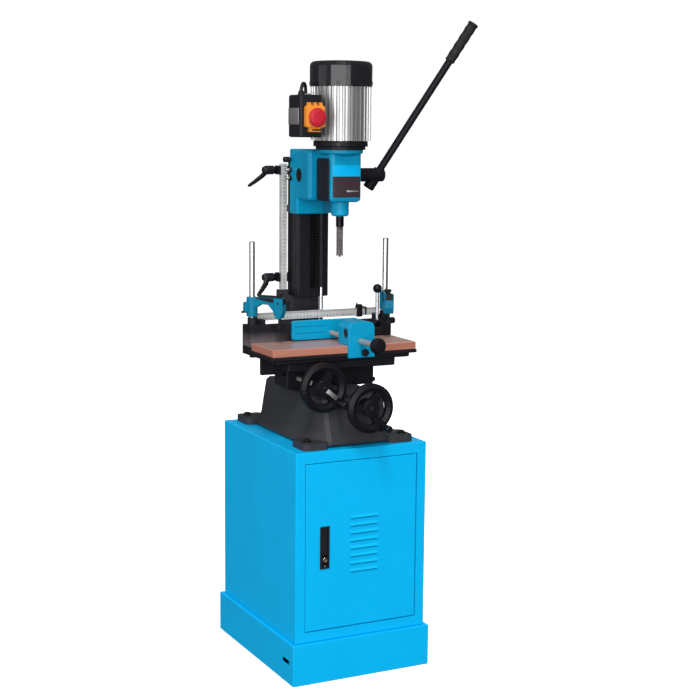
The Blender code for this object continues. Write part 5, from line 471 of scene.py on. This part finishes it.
NODE_FINISHES = {
    "cyan": ("stand_plinth", "stand_cabinet", "stand_door"),
    "zinc": ("door_hinge_rod",),
    "plastic": (
        "latch_case", "latch_handle", "work_stop_knob", "post_lock_knob", "hold_down_lever_left",
        "hold_down_lever_right", "vise_lock_knob", "upper_stop_lever", "lower_stop_lever",
        "chuck_cover", "switch_box",
    ),
    "gloss_plastic": (
        "cross_handwheel", "table_handwheel", "cross_crank_handle", "table_crank_handle",
        "vise_knob", "vise_lever_ball",
    ),
    "cowl": ("fan_cowl",),
    "base_cast": ("base_casting", "column_foot"),
    "cast": ("saddle", "column"),
    "table_cast": ("table_casting",),
    "smooth_black": (
        "saddle_lock_lever", "work_stop", "upper_stop", "lower_stop", "strut_cylinder",
        "motor_flange", "feed_shaft", "feed_lever", "hold_down_screw_left", "hold_down_screw_right",
    ),
    "screw_y": ("cross_leadscrew", "table_pinion_shaft", "vise_screw"),
    "post": ("post_left", "post_right"),
    "lever_chrome": ("vise_lever",),
    "chrome": ("strut_rod",),
    "tool_steel": ("hollow_chisel", "auger_bit"),
    "rack_steel": ("column_rack",),
    "rule": ("fence_rule", "depth_rule"),
    "motor": ("motor_housing",),
    "board": ("table_board",),
    "teal": ("vise_block",),
    "jaw_teal": ("vise_jaw",),
    "shaded_arm_teal": ("hold_down_left", "hold_down_right"),
    "head_teal": ("head_casting",),
    "orange": ("switch_frame",),
    "red": ("stop_button",),
    "rubber": ("switch_cable", "feed_grip"),
}


def dress_nodes():
    """Give every CAD node its finish."""
    for finish, names in NODE_FINISHES.items():
        for name in names:
            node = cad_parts[name]
            node.data.materials.clear()
            node.data.materials.append(finishes[finish])


# Ways to make a piece

SHARP_ANGLE = math.radians(34)


def placed(name, data):
    """Add an object to the scene."""
    item = bpy.data.objects.new(name, data)
    bpy.context.scene.collection.objects.link(item)
    return item


def mesh_of(name, shape, material):
    """Turn a bmesh into a mesh of one material."""
    mesh = bpy.data.meshes.new(name)
    shape.to_mesh(mesh)
    shape.free()
    mesh.materials.append(material)
    return mesh


def from_shape(name, shape, finish, body, smooth=True):
    """Make a piece of a bmesh, give it its finish and let it ride on its body."""
    mesh = mesh_of(name, shape, finishes[finish])
    if smooth:
        for face in mesh.polygons:
            face.use_smooth = True
        mesh.set_sharp_from_angle(angle=SHARP_ANGLE)
    piece = placed(name, mesh)
    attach(piece, body)


def joined(shape, rings):
    """Add rings of corners with faces between them: a ring of one repeated corner is a pole."""
    for here, there in zip(rings, rings[1:]):
        for k in range(len(here)):
            n = (k + 1) % len(here)
            corners = list(dict.fromkeys((here[k], here[n], there[n], there[k])))
            if len(corners) > 2:
                shape.faces.new(corners)
    bmesh.ops.recalc_face_normals(shape, faces=shape.faces)


def capped(shape, rings):
    """Add rings of points as a solid, with a face over each end."""
    corners = [[shape.verts.new(point) for point in ring] for ring in rings]
    shape.faces.new(corners[0])
    shape.faces.new(reversed(corners[-1]))
    joined(shape, corners)


def turned(*profile, sides=24):
    """A turned form, by its (radius, height) points in millimetres."""
    return [(sides, profile)]


def hex_head(across, height, washer=0):
    """A hexagon head with a chamfered crown, on its washer if it has one."""
    foot = 1.4 if washer else 0
    corner = across / math.sqrt(3)
    head = turned(
        (corner * 0.98, foot), (corner, foot + 0.4), (corner, foot + height * 0.78),
        (corner * 0.86, foot + height), (0, foot + height), sides=6,
    )
    if not washer:
        return head
    rim = washer / 2
    return turned((0, 0), (rim, 0), (rim, foot - 0.3), (rim - 0.3, foot), (0, foot)) + head


def socket_head(across, height):
    """A cap screw's head: a drum with a sunk socket."""
    radius = across / 2
    key = radius * 0.56
    return turned(
        (radius, 0), (radius, height * 0.85), (radius * 0.9, height), (key * 1.08, height),
        (key, height * 0.95), (key, height * 0.45), (0, height * 0.4), sides=18,
    )


def turned_into(shape, sides, profile, to_place):
    """Add one turned form, moved from the origin and +Z to its place."""
    turns = [math.tau * k / sides for k in range(sides)]
    rings = []
    for radius, height in profile:
        if radius:
            points = [(radius * math.cos(turn), radius * math.sin(turn), height) for turn in turns]
            rings.append([shape.verts.new(to_place @ (Vector(point) * MM)) for point in points])
        else:
            rings.append([shape.verts.new(to_place @ (Vector((0, 0, height)) * MM))] * sides)
    joined(shape, rings)


def turned_piece(name, finish, body, forms, places, axis):
    """Make one piece of turned forms that point along an axis, at each of its places."""
    facing = Vector(axis).to_track_quat("Z", "Y").to_matrix().to_4x4()
    shape = bmesh.new()
    for place in places:
        for sides, profile in forms:
            turned_into(shape, sides, profile, Matrix.Translation(place) @ facing)
    from_shape(name, shape, finish, body)


def slab_piece(name, finish, body, place, low, high, edge):
    """Make a block with broken edges, its corners in millimetres from a place."""
    shape = bmesh.new()
    bmesh.ops.create_cube(shape, size=1.0)
    size = [(b - a) * MM for a, b in zip(low, high)]
    centre = [(a + b) / 2 * MM for a, b in zip(low, high)]
    for vert in shape.verts:
        vert.co = Vector([m + c * s for m, c, s in zip(centre, vert.co, size)])
    bmesh.ops.bevel(
        shape, geom=shape.edges[:], offset=edge * MM, segments=2, affect="EDGES", profile=0.5,
    )
    shape.transform(place)
    from_shape(name, shape, finish, body)


# Rule marks

INK_LIFT = 0.05 * MM
MARK_WIDTH = 0.32 * MM
MARK_MARGIN = 1.0 * MM
LONG_MARK = 8.0 * MM
MIDDLE_MARK = 6.0 * MM
SHORT_MARK = 4.0 * MM

# The strokes of each figure: a top, b and c right, d bottom, e and f left, g middle
STROKES = {
    "0": "abcdef", "1": "bc", "2": "abged", "3": "abgcd", "4": "fgbc", "5": "afgcd", "6": "afgedc",
    "7": "abc", "8": "abcdefg", "9": "abcdfg",
}


def digit_marks(text, x, z, height):
    """Plain figures with their middle at x and their foot at z, of straight strokes."""
    width = height * 0.52
    line = height * 0.13
    half = height / 2
    boxes = {
        "a": (0, height - line, width, height), "d": (0, 0, width, line),
        "g": (0, half - line / 2, width, half + line / 2),
        "f": (0, half, line, height), "b": (width - line, half, width, height),
        "e": (0, 0, line, half), "c": (width - line, 0, width, half),
    }
    marks = []
    step = width * 1.4
    start = x - (step * (len(text) - 1) + width) / 2
    for k, figure in enumerate(text):
        for stroke in STROKES[figure]:
            low_x, low_z, high_x, high_z = boxes[stroke]
            left = start + k * step
            marks.append((left + low_x, z + low_z, left + high_x, z + high_z))
    return marks


def mark_length(millimetre):
    """Long at each centimetre, middling halfway and short between."""
    if millimetre % 10 == 0:
        return LONG_MARK
    if millimetre % 5 == 0:
        return MIDDLE_MARK
    return SHORT_MARK


def marks_piece(name, body, marks, y):
    """Make flat ink marks that face the front: (low x, low z, high x, high z) each."""
    shape = bmesh.new()
    for low_x, low_z, high_x, high_z in marks:
        corners = ((low_x, low_z), (high_x, low_z), (high_x, high_z), (low_x, high_z))
        shape.faces.new([shape.verts.new((x, y, z)) for x, z in corners])
    from_shape(name, shape, "ink", body, smooth=False)


def make_depth_rule_marks():
    """Millimetres up the depth rule, with figures for the centimetres."""
    (left, front, bottom), (_, _, top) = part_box("depth_rule")
    margin = 4 * MM
    start = left + MARK_MARGIN
    figure_x = left + 14.5 * MM
    figure_height = 4.4 * MM
    marks = []
    for k in range(int((top - bottom - 2 * margin) / MM)):
        z = bottom + margin + k * MM
        marks.append((start, z - MARK_WIDTH / 2, start + mark_length(k), z + MARK_WIDTH / 2))
        if k % 10 == 0 and k:
            marks += digit_marks(str(k // 10), figure_x, z - figure_height / 2, figure_height)
    marks_piece("depth_rule_marks", "stand", marks, front - INK_LIFT)


def make_fence_rule_marks():
    """Millimetres both ways from the fence rule's middle, with figures for the centimetres."""
    (left, front, bottom), (right, _, top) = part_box("fence_rule")
    margin = 3 * MM
    end = top - MARK_MARGIN
    figure_z = bottom + 3.0 * MM
    figure_height = 4.6 * MM
    half = int((right - left - 2 * margin) / 2 / MM)
    marks = []
    for k in range(-half, half + 1):
        x = (left + right) / 2 + k * MM
        marks.append((x - MARK_WIDTH / 2, end - mark_length(k), x + MARK_WIDTH / 2, end))
        if k % 10 == 0:
            marks += digit_marks(str(abs(k) // 10), x, figure_z, figure_height)
    marks_piece("fence_rule_marks", "table", marks, front - INK_LIFT)


# Stand, saddle and wheels

def make_anchor_bolts():
    """The four bolts through the base's lugs."""
    (left, _, bottom), (right, rear, _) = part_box("base_casting")
    inset = 22 * MM
    front_y = -0.196
    rear_y = rear - 30 * MM
    lug_top = bottom + 18 * MM
    places = [(x, y, lug_top) for x in (left + inset, right - inset) for y in (front_y, rear_y)]
    turned_piece("anchor_bolts", "dark_screw", "stand", hex_head(17, 7, washer=24), places, UPWARD)


def make_latch_details():
    """The screw, barrel and keyway of the door's latch; the keyway is a slab of painted shade."""
    x, _, _ = middle("latch_case")
    _, front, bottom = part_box("latch_case")[0]
    turned_piece(
        "latch_screw", "zinc", "door", socket_head(5.5, 0.9), [(x, front, bottom + 7 * MM)], FORWARD,
    )
    barrel = turned((6.2, 0), (6.2, 1.2), (5.6, 1.8), (4.4, 1.8), (4.2, 1.3), (0, 1.3))
    lock = (x, front, bottom + 24 * MM)
    turned_piece("latch_barrel", "brass", "door", barrel, [lock], FORWARD)
    # The keyway is a dark slab of painted shade in the barrel's face
    slab_piece(
        "latch_keyway", "ink", "door", Matrix.Translation(lock), (-0.5, -1.6, -3),
        (0.5, -1.2, 3), edge=0.1,
    )


def make_saddle_details():
    """The plug and the two screws on the saddle's apron."""
    (left, front, _), (right, _, top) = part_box("saddle")
    plug = turned((8.5, 0), (8.5, 2.2), (7.4, 3.2), (4.4, 3.2), (4.2, 1.2), (0, 1.2))
    plug_place = (right - 58.8 * MM, front, top - 42.5 * MM)
    turned_piece("apron_plug", "smooth_black", "saddle_body", plug, [plug_place], FORWARD)
    screw_places = [
        (left + 36 * MM, front, top - 10 * MM), (right - 18 * MM, front, top - 12.5 * MM),
    ]
    turned_piece(
        "apron_screws", "dark_screw", "saddle_body", socket_head(9, 4.5), screw_places, FORWARD,
    )


def wheel_front(node):
    """The middle of a handwheel's front."""
    x, _, z = middle(node)
    return Vector((x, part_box(node)[0][1], z))


def make_wheel_nut(name, node, body):
    """The nut that holds a handwheel."""
    nut = hex_head(9, 4, washer=13)
    turned_piece(name, "dark_screw", body, nut, [wheel_front(node)], FORWARD)


def make_spoke_highlight_plate():
    """A bright plate with its seat, on a spoke of the table's handwheel: the spoke's painted
    highlight.
    """
    spoke_angle = math.radians(-42)
    spoke_reach = 26.5 * MM
    plate_turn = math.radians(39)
    along = Vector((math.cos(spoke_angle), 0, math.sin(spoke_angle)))
    centre = wheel_front("table_handwheel") + along * spoke_reach
    place = Matrix.Translation(centre) @ Matrix.Rotation(plate_turn, 4, "Y")
    # The bright plate paints the highlight on the spoke's flat face
    for name, finish, low, high in (
        ("spoke_highlight_plate", "plate", (-18.5, -0.9, -5.8), (18.5, -0.2, 5.8)),
        ("wheel_plate_seat", "gloss_plastic", (-6.0, -0.25, -5.8), (18.5, 5.7, 5.8)),
    ):
        slab_piece(name, finish, "table_pinion", place, low, high, edge=0.2)


# Head and motor

HEAD_LOW, HEAD_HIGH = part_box("head_casting")
HOUSING_HALF_X = 0.045
HOUSING_FRONT = -0.135
HOUSING_ROUND = 0.010
PLATE_LEFT = -0.0395
PLATE_RIGHT = 0.0405
PLATE_PROUD = 0.35 * MM
PLATE_SUNK = 0.10 * MM


def make_gib_details():
    """The gib's big screw, and the two studs under it with their nuts, on the head's left."""
    left = HEAD_LOW[0]
    y = 0.0700
    screw = turned(
        (4.0, 0), (4.0, 4.0), (7.0, 4.4), (7.6, 5.2), (7.6, 20.0), (6.8, 21.0), (4.2, 21.0),
        (4.0, 20.4), (4.0, 14.0), (0, 13.6), sides=18,
    )
    stud = turned(
        (4.4, 0), (4.4, 13.0), (3.8, 14.0), (2.4, 14.0), (2.2, 12.0), (0, 12.0), sides=16,
    )
    upper, *lower = [(left, y, HEAD_HIGH[2] - down * MM) for down in (28.7, 56.1, 78.0)]
    turned_piece("gib_screw_top", "dark_screw", "head", screw, [upper], LEFTWARD)
    turned_piece("gib_nuts", "dark_screw", "head", hex_head(14, 6.5), lower, LEFTWARD)
    turned_piece("gib_studs", "zinc", "head", stud, lower, LEFTWARD)


def make_feed_cap():
    """The plastic cap over the left end of the feed shaft, sunk into the head's side."""
    y = 0.0185
    z = HEAD_LOW[2] + 104 * MM
    cap = turned(
        (18.0, 0), (18.0, 8.8), (16.9, 9.9), (9.0, 9.9), (8.4, 9.2), (0, 9.2), sides=40,
    )
    turned_piece("feed_cap", "plastic", "head", cap, [(HEAD_LOW[0] + 9.8 * MM, y, z)], LEFTWARD)


def bent_plate(name, finish, low_z, high_z):
    """A thin plate on the housing's front, with its ends bent over the rounded corners."""
    flat = HOUSING_HALF_X - HOUSING_ROUND
    lean = math.tan(math.radians(22.5))
    rings = []
    for x in (PLATE_LEFT, -flat, flat, PLATE_RIGHT):
        y = HOUSING_FRONT + max(0.0, abs(x) - flat) * lean
        front, back = y - PLATE_PROUD, y + PLATE_SUNK
        rings.append(((x, back, low_z), (x, front, low_z), (x, front, high_z), (x, back, high_z)))
    shape = bmesh.new()
    capped(shape, rings)
    from_shape(name, shape, finish, "head")


def make_front_plates():
    """A plain blue plate over a plain dark one, which has a pale strip."""
    blue_top = HEAD_HIGH[2] - 38.6 * MM
    blue_bottom = blue_top - 29.2 * MM
    dark_top = blue_bottom - 0.6 * MM
    dark_bottom = dark_top - 54.1 * MM
    bent_plate("front_blue_plate", "blue_plate", blue_bottom, blue_top)
    bent_plate("front_dark_plate", "dark_plate", dark_bottom, dark_top)
    place = Matrix.Translation((0, HOUSING_FRONT, dark_bottom + 14.3 * MM))
    slab_piece(
        "front_pale_strip", "plate", "head", place, (0.7, -0.7, 0), (35.0, -0.2, 4.0), edge=0.08,
    )


def motor_screws(name, radius, z, head):
    """Four screws about the motor's axis that point outward, each a piece of its own."""
    first_turn = math.radians(148)
    count = 4
    for k in range(count):
        turn = first_turn + k * math.tau / count
        way = Vector((math.cos(turn), math.sin(turn), 0))
        place = Vector((MOTOR_X, MOTOR_Y, z)) + way * radius
        turned_piece("%s_%d" % (name, k), "dark_screw", "head", head, [place], way)


def make_motor_details():
    """The flange's bolts and the fan cowl's screws and air slots."""
    (flange_left, _, flange_bottom), (flange_right, _, _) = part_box("motor_flange")
    flange_radius = (flange_right - flange_left) / 2
    motor_screws(
        "flange_bolt", flange_radius - 2.6 * MM, flange_bottom + 13.5 * MM, hex_head(12, 2.4),
    )
    (cowl_left, _, cowl_bottom), (cowl_right, _, cowl_top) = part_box("fan_cowl")
    cowl_radius = (cowl_right - cowl_left) / 2
    motor_screws("cowl_screw", cowl_radius - 0.6 * MM, cowl_bottom + 9 * MM, socket_head(8, 2.0))
    make_air_slots(cowl_radius, cowl_top)


def make_air_slots(cowl_radius, cowl_top):
    """Two rings of dark slots on the cowl's crown, the outer ones half a step on: painted shade, not
    holes.
    """
    count = 24
    half_width = 1.3 * MM
    crown_fall = 3.0 * MM
    crown_radius = cowl_radius - 12 * MM
    shape = bmesh.new()
    for k in range(count):
        for inner, outer, step in ((18 * MM, 36 * MM, 0), (42 * MM, 60 * MM, 0.5)):
            turn = math.tau * (k + step) / count
            way = Vector((math.cos(turn), math.sin(turn)))
            side = Vector((-way.y, way.x)) * half_width
            corners = []
            for along, across in ((inner, -1), (outer, -1), (outer, 1), (inner, 1)):
                spot = way * along + side * across
                z = cowl_top - crown_fall * min(1.0, (spot.length / crown_radius) ** 2)
                corners.append(shape.verts.new((MOTOR_X + spot.x, MOTOR_Y + spot.y, z)))
            shape.faces.new(corners)
    # The slots are flat faces of painted shade where the openings would be
    from_shape("cowl_air_slots", shape, "ink", "head", smooth=False)


# Switch, vise and hold-downs

def make_switch_details():
    """The switch box's side plate, cover screws and cable gland, and its frame's tab slot of painted
    shade.
    """
    (left, front, bottom), (_, rear, top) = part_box("switch_box")
    corner = Matrix.Translation((left, front, bottom))
    slab_piece(
        "box_side_plate", "plate", "head", corner, (-0.4, 11, 32), (0.3, 72.5, 73), edge=0.15,
    )
    frame_corner = Matrix.Translation(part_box("switch_frame")[0])
    # The tab slot is a dark slab of painted shade
    slab_piece(
        "switch_tab_slot", "ink", "head", frame_corner, (15.5, -0.2, 3.6), (39.5, 0.3, 7.4),
        edge=0.1,
    )
    gland = turned(
        (9.0, 0), (9.0, 3.0), (8.4, 3.6), (7.6, 3.6), (7.2, 9.0), (6.0, 11.0), (4.7, 11.0),
        sides=12,
    )
    gland_place = (left + 31.6 * MM, rear - 9 * MM, top)
    turned_piece("cable_gland", "plastic", "head", gland, [gland_place], UPWARD)
    inset = 6 * MM
    screw_places = [(left + inset, front, z) for z in (bottom + inset, top - inset)]
    turned_piece(
        "box_cover_screws", "dark_screw", "head", socket_head(5, 1.0), screw_places, FORWARD,
    )


def make_vise_details():
    """The floor, black as painted shade, and the screw of the round pocket in the vise block's left
    side.
    """
    (left, front, _), (_, _, top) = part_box("vise_block")
    y = front + 21 * MM
    z = top - 30.3 * MM
    floor = turned(
        (12.9, 0), (12.9, 2.6), (12.2, 3.1), (7.0, 3.1), (6.4, 2.4), (0, 2.4), sides=32,
    )
    # The pocket's floor is black: painted shade at the bottom of the recess
    turned_piece("pocket_floor", "ink", "table", floor, [(left + 4.2 * MM, y, z)], LEFTWARD)
    turned_piece(
        "pocket_screw", "dark_screw", "table", socket_head(10, 1.6), [(left + 2.0 * MM, y, z)],
        LEFTWARD,
    )


# Outlines on a hold-down's arm, in millimetres along it from its post and up from its top
HOLD_STRIP = (
    (17.5, -0.6), (17.5, -3.0), (34, -6.5), (50, -9.5), (65, -11.5), (66.6, -9.5), (66.6, -0.6),
)
HOLD_BRACKET = ((89.2, -15.8), (93.8, -15.8), (93.8, -0.4), (89.2, -0.4))


def arm_prism(name, body, place, outline, low_y, high_y):
    """A flat dark piece on a hold-down's arm: an (along, up) outline between two of its sides."""
    shape = bmesh.new()
    capped(shape, [
        [place @ (Vector((along, y, up)) * MM) for along, up in outline] for y in (low_y, high_y)
    ])
    from_shape(name, shape, "smooth_black", body, smooth=False)


def make_hold_details(name, side, turn):
    """The clamp screw, strip, bracket, boss screw and side pin of one hold-down."""
    body = name + "_hold"
    post_x, post_y, _ = middle("post_" + name)
    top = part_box("hold_down_" + name)[1][2]
    clamp_place = (post_x + side * 19 * MM, post_y, top - 26 * MM)
    turned_piece(
        name + "_hold_clamp_screw", "dark_screw", body, socket_head(8, 5), [clamp_place], FORWARD,
    )
    arm = Matrix.Translation((post_x, post_y, top)) @ Matrix.Rotation(turn, 4, "Z")
    arm_prism(name + "_hold_strip", body, arm, HOLD_STRIP, -11.6, -9.8)
    arm_prism(name + "_hold_bracket", body, arm, HOLD_BRACKET, -9.8, 9.8)
    boss_place = arm @ (Vector((80, -12.9, -13)) * MM)
    turned_piece(
        name + "_hold_boss_screw", "dark_screw", body, socket_head(6, 1.2), [boss_place],
        arm.to_3x3() @ Vector(FORWARD),
    )
    pin = turned(
        (2.0, 14.6), (2.0, 25.0), (3.2, 25.2), (3.4, 29.0), (2.8, 30.2), (0, 30.4), sides=20,
    )
    pin_place = (post_x, post_y, top - 42 * MM)
    pin_way = (side * 0.66, 0.75, 0)
    turned_piece(name + "_hold_pin", "smooth_black", body, pin, [pin_place], pin_way)


# Stage, light and camera

FLOOR_SIZE = 14.0
ROOM_TINT = (0.97, 0.985, 1.0)
ROOM_BELOW = 0.20
ROOM_ABOVE = 0.50
MIRRORED_SHARE = 0.35
BACKDROP = 1.05
LIGHT_TARGET = (0, 0, 1.25)
SUN_WAY = (0.26, 0.50, -0.82)
CAMERA_PLACE = (-1.7067, -3.5160, 1.4261)
CAMERA_YAW = math.radians(26.98)
CAMERA_PITCH = math.radians(8.568)
CAMERA_ROLL = math.radians(0.569)
CAMERA_LENS = 74.84
CAMERA_NEAR = 0.05


def make_stage():
    """A pale floor that neither reflects in the machine nor lights it."""
    paint = Finish("pale_floor", 0.8)
    dark, light = toned(WHITE, 0.945), toned(WHITE, 0.955)
    tone = paint.clouds(dark, light, scale=0.6, detail=2, start=0.3, end=0.7)
    paint.set("Base Color", tone)
    paint.set("Specular IOR Level", 0.0)
    paint.set("Emission Color", WHITE)
    paint.set("Emission Strength", 0.30)
    shape = bmesh.new()
    bmesh.ops.create_grid(shape, x_segments=1, y_segments=1, size=FLOOR_SIZE)
    floor = placed("floor", mesh_of("floor", shape, paint.material))
    floor.visible_diffuse = False
    floor.visible_glossy = False


def make_world():
    """A dim pale room: lighter above, dimmer in reflections, and white where the camera sees it."""
    world = bpy.data.worlds.new("studio")
    world.use_nodes = True
    room = Graph(world.node_tree)
    height = room.coordinate("Z", room.add("ShaderNodeTexCoord").outputs["Generated"])
    glow = room.spread(
        height, -0.6, 0.7, ROOM_BELOW, ROOM_ABOVE, interpolation_type="SMOOTHSTEP",
    )
    ray = room.add("ShaderNodeLightPath")
    mirrored = room.spread(ray.outputs["Is Glossy Ray"], 0.0, 1.0, 1.0, MIRRORED_SHARE)
    walls = room.tree.nodes["Background"]
    room.feed(walls.inputs["Color"], ROOM_TINT)
    room.feed(walls.inputs["Strength"], room.maths("MULTIPLY", glow, mirrored))
    seen = room.add("ShaderNodeBackground", {"Color": WHITE, "Strength": BACKDROP})
    mix = room.add("ShaderNodeMixShader", {
        0: ray.outputs["Is Camera Ray"],
        1: walls.outputs["Background"],
        2: seen.outputs["Background"],
    })
    room.feed(room.tree.nodes["World Output"].inputs["Surface"], mix.outputs["Shader"])
    bpy.context.scene.world = world


def make_sun():
    """A soft sun from the front left and above."""
    light = bpy.data.lights.new("soft_sun", "SUN")
    light.energy = 1.7
    light.angle = math.radians(16)
    item = placed("soft_sun", light)
    item.rotation_euler = Vector(SUN_WAY).to_track_quat("-Z", "Y").to_euler()


def make_area_light(name, place, size, power, mirrored):
    """A soft box that faces the machine; one that isn't mirrored leaves no gloss on it."""
    light = bpy.data.lights.new(name, "AREA")
    light.shape = "RECTANGLE"
    light.size, light.size_y = size
    light.energy = power
    item = placed(name, light)
    item.location = place
    way = Vector(LIGHT_TARGET) - Vector(place)
    item.rotation_euler = way.to_track_quat("-Z", "Y").to_euler()
    item.visible_glossy = mirrored


def make_camera():
    """The photograph's camera, by its place, its yaw, pitch and roll, and its lens."""
    data = bpy.data.cameras.new("camera")
    data.lens = CAMERA_LENS
    data.clip_start = CAMERA_NEAR
    camera = placed("camera", data)
    look = Vector((
        math.sin(CAMERA_YAW) * math.cos(CAMERA_PITCH),
        math.cos(CAMERA_YAW) * math.cos(CAMERA_PITCH),
        -math.sin(CAMERA_PITCH),
    ))
    turn = look.to_track_quat("-Z", "Y").to_matrix().to_4x4()
    roll = Matrix.Rotation(CAMERA_ROLL, 4, "Z")
    camera.matrix_world = Matrix.Translation(CAMERA_PLACE) @ turn @ roll
    bpy.context.scene.camera = camera


# The scene

dress_nodes()
make_depth_rule_marks()
make_fence_rule_marks()
make_anchor_bolts()
make_latch_details()
make_saddle_details()
make_wheel_nut("cross_wheel_nut", "cross_handwheel", "cross_screw")
make_wheel_nut("table_wheel_nut", "table_handwheel", "table_pinion")
make_spoke_highlight_plate()
make_gib_details()
make_feed_cap()
make_front_plates()
make_motor_details()
make_switch_details()
make_vise_details()
make_hold_details("left", side=-1, turn=math.radians(-48))
make_hold_details("right", side=1, turn=math.radians(-111))

make_stage()
make_world()
make_sun()
make_area_light("front_box", (-2.50, -4.00, 1.65), size=(6.0, 3.0), power=205, mirrored=True)
make_area_light("left_fill", (-4.20, 0.60, 1.20), size=(2.4, 2.2), power=13, mirrored=True)
make_area_light("rear_fill", (3.20, 3.40, 2.40), size=(3.0, 2.4), power=105, mirrored=False)
make_camera()
bpy.context.scene.view_settings.view_transform = "Standard"
